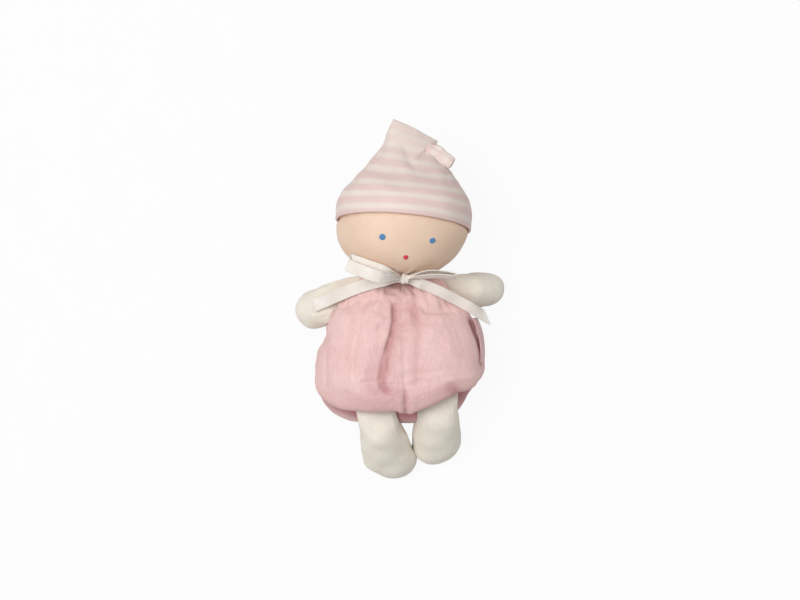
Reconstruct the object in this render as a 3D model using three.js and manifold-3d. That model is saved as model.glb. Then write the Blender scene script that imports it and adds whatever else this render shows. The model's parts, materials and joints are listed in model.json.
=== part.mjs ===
// A soft doll rattle lying on its back: a stuffed body in two sewn panels, a stuffed head in a knotted cap,
// four stuffed limbs, a ribbon bow at the neck and a rattle box of loose beads inside the body.
// Millimetres. +X is the doll's left, +Y its crown, +Z its front. The origin is on the surface it lies on,
// under the body where the body is widest.
import * as THREE from 'three';
import { mergeVertices } from 'three/addons/utils/BufferGeometryUtils.js';
import Module from 'manifold-3d';

const wasm = await Module();
wasm.setup();

// Cloth and clearances
const SKIN = 1.2; // one layer of velour or jersey
const GAP = 0.3; // air between pieces that touch
const FLAT = 0.5; // depth of the flats that the stuffed forms lie on

// Body
const BODY_WIDTH = 103;
const BODY_RISE = 58; // from the widest level up to the neck
const BODY_FALL = 34.5; // from the widest level down to the bottom
const BODY_FRONT = 34; // the front panel's crown above the side seam
const BODY_BACK = 28.5; // the back panel's depth below the side seam
const LEFT_TUCK = 7; // how far the doll's left side draws in below the widest level
const SEAM_BEND_Y = -8; // below this level the seam climbs towards the front
const SEAM_CLIMB = 0.62; // how steeply it climbs there
const UPPER_SQUARENESS = 2.1; // 2 is an ellipse, more is squarer
const LOWER_SQUARENESS = 2.5;
const RING_SQUARENESS = 2.33;
const SHOULDER_RISE = 5; // how far the cloth is pushed up either side of the neck
const SHOULDER_X = 21;
const SHOULDER_WIDTH = 11;
const WAIST_Y = 21; // level where the sides draw in under the arms
const WAIST_WIDTH = 10;
const RIGHT_WAIST_TUCK = 0.04; // share of the half width
const LEFT_WAIST_TUCK = 0.06; // on the front alone, beside the tag

// Pleats down the front: the line of each valley as places (y, x) from the bottom up
const DEEP_PLEAT = { line: [[-22, -6.5], [-15, -12.4], [-4, -13.4], [9, -11.8], [20, -8.6], [40, -6]],
  width: 4.8, depth: 5.4, bottom: -26, top: 45 };
const SOFT_PLEAT = { line: [[-7, 13.6], [30, 12.2], [41, 8.6]], width: 4, depth: 3, bottom: -18, top: 47 };
const SIDE_PLEAT = { line: [[9, -29], [34, -25], [47, -19]], width: 4.2, depth: 2.6, bottom: -5, top: 51 };
const PLEAT_FADE = 12; // length over which a pleat dies out at its ends

// Hem: the front's lower edge, drawn up and rolled out over the seam that the legs come out of
const HEM_LIFT = [[-45, 0.03], [-25, 0.15], [-2, 0.24], [4, 0.12], [11, 0.22], [31, 0.48], [44, 0.4]];
const HEM_FADE = 12; // how far behind the seam the draw dies out
const HEM_TOP = 2; // below the widest level, where the hem's forms start
const HEM_DEPTH = 14; // length over which they come in
const HEM_ROLL = 2; // how far the edge rolls out, and more where it is drawn up
const HEM_ROLL_GAIN = 6;
const HEM_ROLL_PLACE = 8; // in front of the seam
const HEM_ROLL_WIDTH = 5;
const HEM_GROOVE = 2; // how far the seam itself is drawn in
const HEM_GROOVE_WIDTH = 4;
const HEM_PUFF = 14; // how far the front stands out above the drawn edge, by the share it is drawn
const HEM_PUFF_PLACE = 13;
const HEM_PUFF_WIDTH = 8;

// Head
const HEAD_WIDTH = 79.6;
const HEAD_DEPTH = 82;
const HEAD_HEIGHT = 70;
const JAW_SQUARENESS = 2.35; // of the half below the middle, where 2 is an ellipse
const JAW_SHIFT = 2; // how far the jaw lies to the doll's right
const JAW_FADE = 20; // below the middle of the head, where the shift is full
const HEAD_SIDE_STEP = 2.5; // the head lies a little to the doll's left
const HEAD_TURN = 45; // degrees that the head turns to either side
const HEAD_LEAN = -4.5; // degrees, towards the doll's left
const HEAD_NOD = 4; // degrees, chin towards the chest
const NECK_RADIUS = 10;
const NECK_LENGTH = 8; // how far the gathered neck goes down into the body
const NECK_CLEARANCE = 4; // the hollow between the chin and the shoulders, which holds the ribbon

// Face, in embroidery thread
const THREAD = 0.6; // how far a stitched dot stands up
const EYE_DIAMETER = 3.9;
const EYE_SPACING = 29.8;
const EYE_DROP = 10.6; // below the middle of the head
const MOUTH_DIAMETER = 3.3;
const MOUTH_DROP = 21.5;
const FACE_TURN = 4.3; // degrees, towards the doll's left

// Cap
const CAP = 1.4; // thickness of the folded jersey
const BRIM_FRONT = 6; // above the middle of the head
const BRIM_BACK = 12; // below the middle of the head
const PEAK_BASE = 10; // above the middle of the head, inside the dome that the peak grows out of
const PEAK_BASE_HALF = 36;
const PEAK_WAIST = 22; // half the depth that the peak draws in to between the dome and the fold
const PEAK_CORNER_X = -12.2;
const PEAK_RISE = 24.3; // the peak's corner above the crown of the head
const FOLD_END_X = 16.4;
const FOLD_RISE = 11.9; // the fold's lower end above the crown of the head
const FOLD_HALF = 3.6; // half the thickness of the fold along the top
const KNOT_TAIL_LENGTH = 15;
const KNOT_TAIL_WIDTH = 9.5;
const KNOT_TAIL_THICKNESS = 6;
const KNOT_TAIL_ANGLE = -28; // degrees from the doll's left
const KNOT_TAIL_HEIGHT = 11.5; // its crease above the middle plane of the head

// Limbs
const LIMB_EDGE = SKIN + 0.5; // half the thickness of the flat edge that is caught in the seam
const LIMB_ALLOWANCE = 14; // how far the flat edge runs inwards, up to the panels
const ARM_RADIUS = 10.4;
const ARM_ROOT_HALF = 11;
const ARM_WEDGE = 14; // length over which the flat edge fills out
const LEFT_ARM_Y = 47;
const LEFT_ARM_REACH = 21.5; // from the seam to the middle of the rounded end
const LEFT_ARM_ANGLE = 7; // degrees above straight out sideways
const RIGHT_ARM_Y = 42;
const RIGHT_ARM_REACH = 17.5;
const RIGHT_ARM_ANGLE = -16;
const LEG_WEDGE = 16;
const LEG_ROOT_HALF = 11.5;
const LEG_HALF_DEPTH = 13.2;
const HIP_HEIGHT = 40;
const LEFT_HIP_X = 23.4;
const LEFT_FOOT_HALF = 14.4;
const LEFT_LEG_REACH = 28.4;
const LEFT_LEG_ANGLE = -92.6; // degrees from the doll's left
const RIGHT_HIP_X = -14.5;
const RIGHT_FOOT_HALF = 15;
const RIGHT_LEG_REACH = 28.9;
const RIGHT_LEG_ANGLE = -76.5;
const ARM_LIFT = 60; // degrees that an arm swings forward
const LEG_LIFT = 75; // degrees that a leg swings forward
const SWING_STEP = 15; // degrees between the clearance cuts for a swing

// Ribbon bow
const RIBBON_WIDTH = 7.5;
const RIBBON_THICKNESS = 0.6;
const RIBBON_PINCH = 3.2; // width of the ribbon where it enters the knot
const RIBBON_GATHER = 11; // length over which it opens out to its full width
const RIBBON_CLEARANCE = 1; // how far the ribbon lies above what it drapes over
const TAIL_SLOPE = 0.8; // the steepest that a ribbon tail falls by itself
const LOOP_SLOPE = 0.1; // and a bow loop, which is stiffer
const CLIMB_SLOPE = 1; // the steepest that either climbs over what it meets
const NECK_RIBBON_RADIUS = 13;
const KNOT_X = 2.8;
const KNOT_SINK = 2.6; // below the top of the body
const KNOT_LENGTH = 7;
const KNOT_HEIGHT = 6.5;
const KNOT_DEPTH = 5;
const RIGHT_LOOP_LENGTH = 32;
const RIGHT_LOOP_ANGLE = 157;
const RIGHT_LOOP_ROLL = 26;
const LEFT_LOOP_LENGTH = 29;
const LEFT_LOOP_ANGLE = 9;
const LEFT_LOOP_ROLL = 45;
const LOOP_OPENING = 4.5;
const LOOP_ROOT = 1.2; // how far apart a loop's two ends enter the knot
const RIGHT_TAIL_LENGTH = 54.5;
const RIGHT_TAIL_ANGLE = 196;
const LEFT_TAIL_LENGTH = 52;
const LEFT_TAIL_ANGLE = -24;
const TAIL_SLANT = 4; // how far the cut end slants

// Bare side tag
const TAG_LENGTH = 28;
const TAG_WIDTH = 7;
const TAG_THICKNESS = 0.6;
const TAG_MIDDLE_Y = 17.5;
const TAG_RISE = 10; // its middle in front of the side seam
const TAG_BOW = 2.4; // how far its middle stands off the body

// Rattle box and beads
const BOX_RADIUS = 15;
const BOX_HEIGHT = 18;
const BOX_WALL = 1.5;
const LID_PLUG = 3; // depth of the lid's rim inside the cup
const BOX_Y = 2;
const BEAD_DIAMETER = 5;
const BEAD_COUNT = 6;
const BEAD_RING_RADIUS = 8;

// Mesh fineness
const BODY_AROUND_FRONT = 42;
const BODY_AROUND_BACK = 12;
const BODY_LEVELS = 22;
const SEAM_STEPS = 44; // squares along each side of the surface that parts the panels
const HEAD_AROUND = 28;
const HEAD_LEVELS = 12;
const LIMB_AROUND = 16;
const LIMB_STATIONS = [0, 0.13, 0.28, 0.45, 0.7, 1]; // shares of a limb's reach
const STUFFING_START = 2; // the station where a limb's stuffing starts
const RIBBON_STEPS = 14;
const FAR = 400; // larger than the doll, for cutting planes

// Places worked out from the sizes above
const SEAM_HEIGHT = BODY_BACK - FLAT;
const HEAD_REST = HEAD_DEPTH / 2 + GAP + CAP - FLAT; // the head lies on the back of its cap
const HEAD_MIDDLE = new THREE.Vector3(HEAD_SIDE_STEP, BODY_RISE + HEAD_HEIGHT / 2, HEAD_REST);
const PEAK_CORNER_Y = HEAD_HEIGHT / 2 + PEAK_RISE;
const FOLD_END_Y = HEAD_HEIGHT / 2 + FOLD_RISE;
const BOX_HEIGHT_ABOVE_FLOOR = SEAM_HEIGHT + (BODY_FRONT - BODY_BACK) / 2;
const DOWN = new THREE.Vector3(0, 0, -1);
const UP = new THREE.Vector3(0, 0, 1);

// Materials
function cloth(color, roughness) {
  return new THREE.MeshStandardMaterial({ color, roughness, metalness: 0 });
}
const PINK_VELOUR = cloth(0xe6bfbb, 0.95);
const CREAM_VELOUR = cloth(0xece3d6, 0.95);
const SKIN_JERSEY = cloth(0xe6c8b0, 0.9);
const STRIPED_JERSEY = cloth(0xeaccc6, 0.9);
const SATIN = cloth(0xf1e8e0, 0.45);
const FIBRE = cloth(0xf6f5f2, 1);
const BLUE_THREAD = cloth(0x3f7fb5, 0.7);
const RED_THREAD = cloth(0xd8475a, 0.7);
const BOX_PLASTIC = cloth(0xe9eef2, 0.35);
const BEAD_PLASTIC = cloth(0xd9dde0, 0.3);

// Solids: a closed geometry becomes a solid for joining and cutting, and comes back as a geometry.
function solidOf(geometry) {
  const bare = geometry.index ? geometry.toNonIndexed() : geometry.clone();
  bare.deleteAttribute('normal');
  bare.deleteAttribute('uv');
  const merged = mergeVertices(bare, 1e-4);
  return new wasm.Manifold(new wasm.Mesh({
    numProp: 3,
    vertProperties: merged.getAttribute('position').array,
    triVerts: new Uint32Array(merged.index.array),
  }));
}

function geometryOf(solid) {
  const mesh = solid.getMesh();
  const geometry = new THREE.BufferGeometry();
  geometry.setAttribute('position', new THREE.BufferAttribute(mesh.vertProperties, 3));
  geometry.setIndex(new THREE.BufferAttribute(mesh.triVerts, 1));
  geometry.computeVertexNormals();
  return geometry;
}

function moved(solid, matrix) {
  return solid.transform(matrix.elements);
}

function piece(name, solid, material) {
  const mesh = new THREE.Mesh(geometryOf(solid), material);
  mesh.name = name;
  return mesh;
}

// A closed surface over a row of rings with equally many points, each end closed to its middle.
function loft(rings) {
  const around = rings[0].length;
  const points = rings.flat();
  const middle = (ring) => ring.reduce((sum, p) => sum.add(p), new THREE.Vector3()).divideScalar(around);
  const start = points.push(middle(rings[0])) - 1;
  const end = points.push(middle(rings.at(-1))) - 1;
  const faces = [];
  const last = (rings.length - 1) * around;
  for (let i = 0; i < around; i++) {
    const next = (i + 1) % around;
    for (let r = 0; r < last; r += around) {
      faces.push(r + i, r + next, r + around + i, r + next, r + around + next, r + around + i);
    }
    faces.push(start, next, i, end, last + i, last + next);
  }
  const geometry = new THREE.BufferGeometry().setFromPoints(points);
  geometry.setIndex(faces);
  const solid = solidOf(geometry);
  if (solid.volume() > 0) return solid;
  geometry.setIndex(faces.reverse());
  return solidOf(geometry);
}

function box(width, depth, height, x, y, z) {
  return solidOf(new THREE.BoxGeometry(width, depth, height).translate(x, y, z));
}

const FLOOR = box(FAR, FAR, FAR, 0, 0, -FAR / 2);

// Everything of a solid below the surface that the doll lies on, cut away inside a placed group.
function cutFlat(solid, group) {
  group.updateWorldMatrix(true, false);
  return solid.subtract(moved(FLOOR, group.matrixWorld.clone().invert()));
}

// Body: an egg-shaped outline with a deep front and a flatter back, pleated down the front.
const power = (value, exponent) => Math.sign(value) * Math.abs(value) ** exponent;

const bell = (value, middle, width) => Math.exp(-(((value - middle) / width) ** 2));

// The second number of a row of places, at a value of the first.
function lineAt(places, at) {
  const after = places.findIndex(([place]) => place > at);
  if (after === 0) return places[0][1];
  if (after < 0) return places.at(-1)[1];
  const [[a, low], [b, high]] = [places[after - 1], places[after]];
  return THREE.MathUtils.mapLinear(at, a, b, low, high);
}

function pleatDepth(x, y) {
  let depth = 0;
  for (const pleat of [DEEP_PLEAT, SOFT_PLEAT, SIDE_PLEAT]) {
    const window = THREE.MathUtils.smoothstep(y, pleat.bottom, pleat.bottom + PLEAT_FADE)
      * (1 - THREE.MathUtils.smoothstep(y, pleat.top - PLEAT_FADE, pleat.top));
    depth += window * pleat.depth * bell(x, lineAt(pleat.line, y), pleat.width);
  }
  return depth;
}

// A point of the body's surface: level runs from -90 at the bottom to 90 at the neck, turn goes round it.
function bodyPoint(level, turn, grow) {
  const upper = level > 0;
  const squareness = upper ? UPPER_SQUARENESS : LOWER_SQUARENESS;
  const across = Math.cos(level) ** (2 / squareness);
  let y = power(Math.sin(level), 2 / squareness) * ((upper ? BODY_RISE : BODY_FALL) + grow);
  let x = power(Math.cos(turn), 2 / RING_SQUARENESS) * across * (BODY_WIDTH / 2 + grow);
  if (x > 0) x -= LEFT_TUCK * (x / (BODY_WIDTH / 2)) * THREE.MathUtils.smoothstep(-y, 0, BODY_FALL / 2);
  const front = Math.sin(turn) > 0;
  let z = power(Math.sin(turn), 2 / RING_SQUARENESS) * across * ((front ? BODY_FRONT : BODY_BACK) + grow);
  y += SHOULDER_RISE * bell(Math.abs(x), SHOULDER_X, SHOULDER_WIDTH)
    * THREE.MathUtils.smoothstep(y, BODY_RISE - 2 * SHOULDER_WIDTH, BODY_RISE);
  const tuck = x < 0 ? RIGHT_WAIST_TUCK : LEFT_WAIST_TUCK * THREE.MathUtils.smoothstep(z, 0, WAIST_WIDTH);
  x *= 1 - tuck * bell(y, WAIST_Y, WAIST_WIDTH);
  if (front) z -= Math.min(pleatDepth(x, y), z * 0.4);
  return new THREE.Vector3(x, y, SEAM_HEIGHT + z);
}

const seamHeight = (y) => SEAM_HEIGHT + SEAM_CLIMB * Math.max(0, SEAM_BEND_Y - y);

// Draws a point of the body up at the hem, in place, and rolls the hem out over the seam.
function drawUp(point) {
  const [x, y, z] = point;
  if (y >= 0) return;
  const front = (z - seamHeight(y)) / Math.hypot(1, SEAM_CLIMB);
  const low = THREE.MathUtils.smoothstep(-y, HEM_TOP, HEM_TOP + HEM_DEPTH);
  const lift = lineAt(HEM_LIFT, x) * THREE.MathUtils.smoothstep(front, -HEM_FADE, 0);
  const roll = (HEM_ROLL + HEM_ROLL_GAIN * lift) * bell(front, HEM_ROLL_PLACE, HEM_ROLL_WIDTH);
  const away = new THREE.Vector2(x / (BODY_WIDTH / 2) ** 2, y / BODY_FALL ** 2)
    .setLength(low * (roll - HEM_GROOVE * bell(front, 0, HEM_GROOVE_WIDTH)));
  point[0] = x + away.x;
  point[1] = y * (1 - lift) + away.y;
  point[2] = z + HEM_PUFF * lift * low * bell(front, HEM_PUFF_PLACE, HEM_PUFF_WIDTH);
}

function bodyForm(grow) {
  const turns = [];
  for (let i = 0; i < BODY_AROUND_FRONT; i++) turns.push((Math.PI * i) / BODY_AROUND_FRONT);
  for (let i = 0; i < BODY_AROUND_BACK; i++) turns.push(Math.PI * (1 + i / BODY_AROUND_BACK));
  const rings = [];
  for (let i = 1; i < BODY_LEVELS; i++) {
    const level = Math.PI * (i / BODY_LEVELS - 0.5);
    rings.push(turns.map((turn) => bodyPoint(level, turn, grow)));
  }
  return loft(rings).warp(drawUp);
}

// The body's half width at a level of the side seam.
function seamHalfWidth(y) {
  const share = y > 0 ? y / BODY_RISE : y / -BODY_FALL;
  const squareness = y > 0 ? UPPER_SQUARENESS : LOWER_SQUARENESS;
  return (BODY_WIDTH / 2) * (1 - share ** squareness) ** (1 / squareness);
}

// Head: a stuffed ball, wider than tall and full in the jaw, with its gathered neck below. Built about its
// own middle.
const head = new THREE.Group();
head.position.copy(HEAD_MIDDLE);
head.rotation.set(THREE.MathUtils.degToRad(HEAD_NOD), 0, THREE.MathUtils.degToRad(HEAD_LEAN));
head.updateMatrixWorld(true);

// A point of the head's surface: down runs from 0 at the crown to 180 at the neck, turn goes round it.
function headPoint(down, turn, grow) {
  const shape = 2 / (Math.cos(down) < 0 ? JAW_SQUARENESS : 2);
  const ring = Math.sin(down) ** shape;
  const y = power(Math.cos(down), shape) * (HEAD_HEIGHT / 2 + grow);
  const shift = JAW_SHIFT * THREE.MathUtils.smoothstep(-y, 0, JAW_FADE);
  const x = ring * Math.sin(turn) * (HEAD_WIDTH / 2 + grow) - shift;
  return new THREE.Vector3(x, y, ring * Math.cos(turn) * (HEAD_DEPTH / 2 + grow));
}

function headBall(grow) {
  const rings = [];
  for (let i = 1; i < HEAD_LEVELS; i++) {
    const ring = [];
    for (let k = 0; k < HEAD_AROUND; k++) {
      ring.push(headPoint((Math.PI * i) / HEAD_LEVELS, (2 * Math.PI * k) / HEAD_AROUND, grow));
    }
    rings.push(ring);
  }
  return loft(rings);
}

function neckStub(grow, deeper = 0) {
  const top = -HEAD_HEIGHT / 2 + NECK_LENGTH;
  const bottom = -HEAD_HEIGHT / 2 - NECK_LENGTH - deeper;
  const stub = new THREE.CylinderGeometry(NECK_RADIUS + grow, NECK_RADIUS + grow, top - bottom, HEAD_AROUND);
  return solidOf(stub.translate(0, (top + bottom) / 2, 0));
}

const headInWorld = (solid) => moved(solid, head.matrixWorld);
const shoulders = (form, grow) => form.subtract(headInWorld(headBall(NECK_CLEARANCE - grow)));
const neckHole = headInWorld(neckStub(GAP, GAP));

// Body panels: one skin, hollowed to cup the chin and split along the side seam
function frontOfSeam() {
  const span = 2 * BODY_WIDTH;
  const block = new THREE.BoxGeometry(span, span, FAR, SEAM_STEPS, SEAM_STEPS, 1).translate(0, 0, FAR / 2);
  const place = block.getAttribute('position');
  for (let i = 0; i < place.count; i++) {
    if (place.getZ(i) === 0) place.setZ(i, seamHeight(place.getY(i)));
  }
  return solidOf(block).warp(drawUp);
}

function bodyPanels() {
  const hollow = shoulders(bodyForm(-SKIN), -SKIN);
  const skin = shoulders(bodyForm(0), 0).subtract(hollow).subtract(neckHole).subtract(FLOOR);
  const front = frontOfSeam();
  return [
    piece('body_front_panel', skin.intersect(front), PINK_VELOUR),
    piece('body_back_panel', skin.subtract(front.translate([0, 0, -GAP])), PINK_VELOUR),
  ];
}

// Rattle box: a cup and a plug-in lid round a ring of loose beads, which lie on the cup's floor
const rattle = new THREE.Group();
rattle.position.set(0, BOX_Y, BOX_HEIGHT_ABOVE_FLOOR - BOX_HEIGHT / 2);

function turned(outline, segments = HEAD_AROUND) {
  const points = outline.map(([radius, height]) => new THREE.Vector2(radius, height));
  return solidOf(new THREE.LatheGeometry(points, segments).rotateX(Math.PI / 2));
}

function rattleCup() {
  const inner = BOX_RADIUS - BOX_WALL;
  const rim = BOX_HEIGHT - BOX_WALL - GAP;
  return turned([[0, 0], [BOX_RADIUS, 0], [BOX_RADIUS, rim], [inner, rim], [inner, BOX_WALL], [0, BOX_WALL]]);
}

function rattleLid() {
  const plug = BOX_RADIUS - BOX_WALL - GAP;
  const under = BOX_HEIGHT - BOX_WALL;
  const inner = plug - BOX_WALL;
  return turned([[0, under], [inner, under], [inner, under - LID_PLUG], [plug, under - LID_PLUG],
    [plug, under], [BOX_RADIUS, under], [BOX_RADIUS, BOX_HEIGHT], [0, BOX_HEIGHT]]);
}

function rattlePieces() {
  rattle.add(piece('rattle_cup', rattleCup(), BOX_PLASTIC), piece('rattle_lid', rattleLid(), BOX_PLASTIC));
  for (let i = 0; i < BEAD_COUNT; i++) {
    const turn = (2 * Math.PI * i) / BEAD_COUNT;
    const ball = solidOf(new THREE.SphereGeometry(BEAD_DIAMETER / 2, 10, 7));
    const bead = piece(`rattle_bead_${i + 1}`, ball, BEAD_PLASTIC);
    bead.position.set(BEAD_RING_RADIUS * Math.cos(turn), BEAD_RING_RADIUS * Math.sin(turn),
      BOX_WALL + GAP + BEAD_DIAMETER / 2);
    rattle.add(bead);
  }
  return rattle;
}

// Body stuffing: two wads of fibre that close round the rattle box
function bodyStuffing() {
  const inset = -(SKIN + GAP);
  const radius = BOX_RADIUS + GAP;
  const pocket = solidOf(new THREE.CylinderGeometry(radius, radius, BOX_HEIGHT + 2 * GAP, HEAD_AROUND)
    .rotateX(Math.PI / 2).translate(0, BOX_Y, BOX_HEIGHT_ABOVE_FLOOR));
  const wad = shoulders(bodyForm(inset), inset).subtract(neckHole).subtract(pocket);
  const split = box(FAR, FAR, FAR, 0, 0, BOX_HEIGHT_ABOVE_FLOOR + FAR / 2);
  return [
    piece('body_stuffing_front', wad.intersect(split), FIBRE),
    piece('body_stuffing_back', wad.subtract(split.translate([0, 0, -GAP])), FIBRE),
  ];
}

// Head, cap and face, all about the middle of the head
function headPieces() {
  const hollow = headBall(-SKIN).add(neckStub(-SKIN, 1));
  const skin = headBall(0).add(neckStub(0)).subtract(hollow);
  const inset = -(SKIN + GAP);
  head.add(
    piece('head_skin', cutFlat(skin, head), SKIN_JERSEY),
    piece('head_stuffing', headBall(inset).add(neckStub(inset)), FIBRE),
  );
}

function stitchedDot(name, diameter, x, drop, material) {
  const raised = headBall(GAP + THREAD).subtract(headBall(GAP));
  const punch = new THREE.CylinderGeometry(diameter / 2, diameter / 2, HEAD_DEPTH, 12)
    .rotateX(Math.PI / 2)
    .translate(x, -drop, HEAD_DEPTH / 2)
    .rotateY(THREE.MathUtils.degToRad(FACE_TURN));
  head.add(piece(name, raised.intersect(solidOf(punch)), material));
}

function capPeak(grow) {
  const left = new THREE.QuadraticBezierCurve(
    new THREE.Vector2(-PEAK_BASE_HALF, PEAK_BASE),
    new THREE.Vector2((PEAK_CORNER_X - PEAK_BASE_HALF) * 0.54, PEAK_BASE * 0.55 + PEAK_CORNER_Y * 0.45),
    new THREE.Vector2(PEAK_CORNER_X, PEAK_CORNER_Y),
  );
  const right = new THREE.QuadraticBezierCurve(
    new THREE.Vector2(PEAK_BASE_HALF, PEAK_BASE),
    new THREE.Vector2((FOLD_END_X + PEAK_BASE_HALF) * 0.59, PEAK_BASE * 0.46 + FOLD_END_Y * 0.54),
    new THREE.Vector2(FOLD_END_X, FOLD_END_Y),
  );
  const steps = 7;
  const around = 20;
  const rings = [];
  for (let s = 0; s <= steps; s++) {
    const share = s / steps;
    const a = left.getPoint(share);
    const b = right.getPoint(share);
    const half = b.clone().sub(a).multiplyScalar(0.5);
    half.setLength(half.length() + grow);
    const centre = a.clone().add(b).multiplyScalar(0.5);
    const depth = (1 - share) ** 2 * PEAK_BASE_HALF + 2 * share * (1 - share) * PEAK_WAIST
      + share ** 2 * FOLD_HALF + grow;
    const ring = [];
    for (let i = 0; i < around; i++) {
      const turn = (2 * Math.PI * i) / around;
      const across = half.clone().multiplyScalar(Math.cos(turn)).add(centre);
      ring.push(new THREE.Vector3(across.x, across.y + (s === steps ? grow : 0), depth * Math.sin(turn)));
    }
    rings.push(ring);
  }
  return loft(rings);
}

function capForm(grow) {
  const slope = Math.atan2(BRIM_FRONT + BRIM_BACK, HEAD_DEPTH);
  const level = (BRIM_FRONT - BRIM_BACK) / 2;
  const above = new THREE.BoxGeometry(FAR, FAR, FAR).translate(0, FAR / 2 - grow, 0)
    .rotateX(-slope).translate(0, level, 0);
  return headBall(GAP + CAP + grow).intersect(solidOf(above)).add(capPeak(grow)).subtract(headBall(GAP));
}

// The knotted end of the cap, on a hinge at the crease where it leaves the wrap
const knotTail = new THREE.Group();
knotTail.position.set(FOLD_END_X * 0.72, FOLD_END_Y * 0.92, KNOT_TAIL_HEIGHT);
knotTail.userData.axis = new THREE.Vector3(0, 0, 0);

function capKnotTail() {
  const angle = THREE.MathUtils.degToRad(KNOT_TAIL_ANGLE);
  const along = new THREE.Vector3(Math.cos(angle), Math.sin(angle), 0);
  const across = new THREE.Vector3(-Math.sin(angle), Math.cos(angle), 0);
  knotTail.userData.axis.copy(across).negate();
  const widths = [1, 1.05, 0.95, 0.86, 0.78];
  const around = 14;
  const rings = widths.map((share, i) => {
    const reach = GAP + (KNOT_TAIL_LENGTH * i) / (widths.length - 1);
    const ring = [];
    for (let k = 0; k < around; k++) {
      const turn = (2 * Math.PI * k) / around;
      ring.push(along.clone().multiplyScalar(reach)
        .addScaledVector(across, (Math.cos(turn) * share * KNOT_TAIL_WIDTH) / 2)
        .add(new THREE.Vector3(0, 0, ((Math.sin(turn) * share - 1) * KNOT_TAIL_THICKNESS) / 2)));
    }
    return ring;
  });
  const toTail = new THREE.Matrix4().makeTranslation(knotTail.position.clone().negate());
  const solid = loft(rings).subtract(moved(capForm(GAP), toTail));
  knotTail.add(piece('cap_knot_tail', solid, STRIPED_JERSEY));
}

// Limbs: a stuffed bag that tapers to a flat edge in the seam, built about the middle of that edge
function limbForm(limb, grow, from = 0) {
  const along = limb.reach.clone().normalize();
  const level = along.clone().setZ(0).normalize();
  const across = new THREE.Vector3().crossVectors(UP, along).normalize();
  const over = new THREE.Vector3().crossVectors(along, across);
  const length = limb.reach.length();
  const stations = LIMB_STATIONS.slice(from).map((share) => share * length);
  if (from === 0) stations.unshift(grow < 0 ? -LIMB_ALLOWANCE - 1 : -LIMB_ALLOWANCE);
  const ringAt = (reach, half, depth) => {
    const ring = [];
    for (let i = 0; i < LIMB_AROUND; i++) {
      const turn = (2 * Math.PI * i) / LIMB_AROUND;
      ring.push((reach < 0 ? level : along).clone().multiplyScalar(reach)
        .addScaledVector(across, half * Math.cos(turn))
        .addScaledVector(reach < 0 ? UP : over, depth * Math.sin(turn)));
    }
    return ring;
  };
  const rings = stations.map((reach) => {
    const share = THREE.MathUtils.clamp(reach / length, 0, 1);
    const fill = Math.sin((Math.PI / 2) * THREE.MathUtils.clamp(reach / limb.wedge, 0, 1));
    const half = THREE.MathUtils.lerp(limb.rootHalf, limb.endHalf, THREE.MathUtils.smoothstep(share, 0, 1));
    return ringAt(reach, half + grow, THREE.MathUtils.lerp(LIMB_EDGE, limb.depth, fill) + grow);
  });
  for (const turn of [0.38, 0.75, 1.1, 1.4]) {
    const cap = length + Math.sin(turn) * (limb.depth + grow);
    rings.push(ringAt(cap, (limb.endHalf + grow) * Math.cos(turn), (limb.depth + grow) * Math.cos(turn)));
  }
  return loft(rings);
}

// The body, grown by the gap, as a limb meets it at each step of its swing.
function cutBySwing(solid, group, axis, lift) {
  const body = bodyForm(GAP);
  const toGroup = new THREE.Matrix4().makeTranslation(group.position.clone().negate());
  let cut = solid;
  for (let angle = 0; angle <= lift; angle += SWING_STEP) {
    const back = new THREE.Matrix4().makeRotationAxis(axis, THREE.MathUtils.degToRad(-angle));
    cut = cut.subtract(moved(body, back.multiply(toGroup)));
  }
  return cut.decompose().sort((a, b) => b.volume() - a.volume())[0];
}

function limbGroup(name, limb) {
  const group = new THREE.Group();
  group.position.copy(limb.root);
  group.userData.axis = limb.axis;
  const skin = limbForm(limb, 0).subtract(limbForm(limb, -SKIN));
  const stuffing = limbForm(limb, -(SKIN + GAP), STUFFING_START);
  group.add(
    piece(`${name}_skin`, cutFlat(cutBySwing(skin, group, limb.axis, limb.lift), group), CREAM_VELOUR),
    piece(`${name}_stuffing`, cutBySwing(stuffing, group, limb.axis, limb.lift), FIBRE),
  );
  return group;
}

function armSpec(side, y, reach, angle) {
  const turn = THREE.MathUtils.degToRad(angle);
  const root = new THREE.Vector3(side * (seamHalfWidth(y) + GAP), y, SEAM_HEIGHT);
  const out = new THREE.Vector3(side * Math.cos(turn), Math.sin(turn), 0);
  return {
    root,
    reach: out.clone().multiplyScalar(reach).setZ(ARM_RADIUS - FLAT - root.z),
    axis: new THREE.Vector3().crossVectors(out, UP),
    lift: ARM_LIFT,
    wedge: ARM_WEDGE,
    rootHalf: ARM_ROOT_HALF,
    endHalf: ARM_RADIUS,
    depth: ARM_RADIUS,
  };
}

function legSpec(x, footHalf, reach, angle, bodySkin) {
  const turn = THREE.MathUtils.degToRad(angle);
  const from = new THREE.Vector3(x, -FAR / 2, HIP_HEIGHT);
  const hit = new THREE.Raycaster(from, new THREE.Vector3(0, 1, 0)).intersectObjects(bodySkin)[0];
  const root = hit.point.add(new THREE.Vector3(0, -GAP, 0));
  const out = new THREE.Vector3(Math.cos(turn), Math.sin(turn), 0);
  return {
    root,
    reach: out.multiplyScalar(reach).setZ(LEG_HALF_DEPTH - FLAT - root.z),
    axis: new THREE.Vector3(-1, 0, 0),
    lift: LEG_LIFT,
    wedge: LEG_WEDGE,
    rootHalf: LEG_ROOT_HALF,
    endHalf: footHalf,
    depth: LEG_HALF_DEPTH,
  };
}

// Ribbon: strips that lie on whatever is under them
// How far the ribbon has opened out from the knot, from 0 to 1.
const spread = (reach) => THREE.MathUtils.smoothstep(reach, 0, RIBBON_GATHER);
const ribbonWidth = (reach) => THREE.MathUtils.lerp(RIBBON_PINCH, RIBBON_WIDTH, spread(reach));

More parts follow.
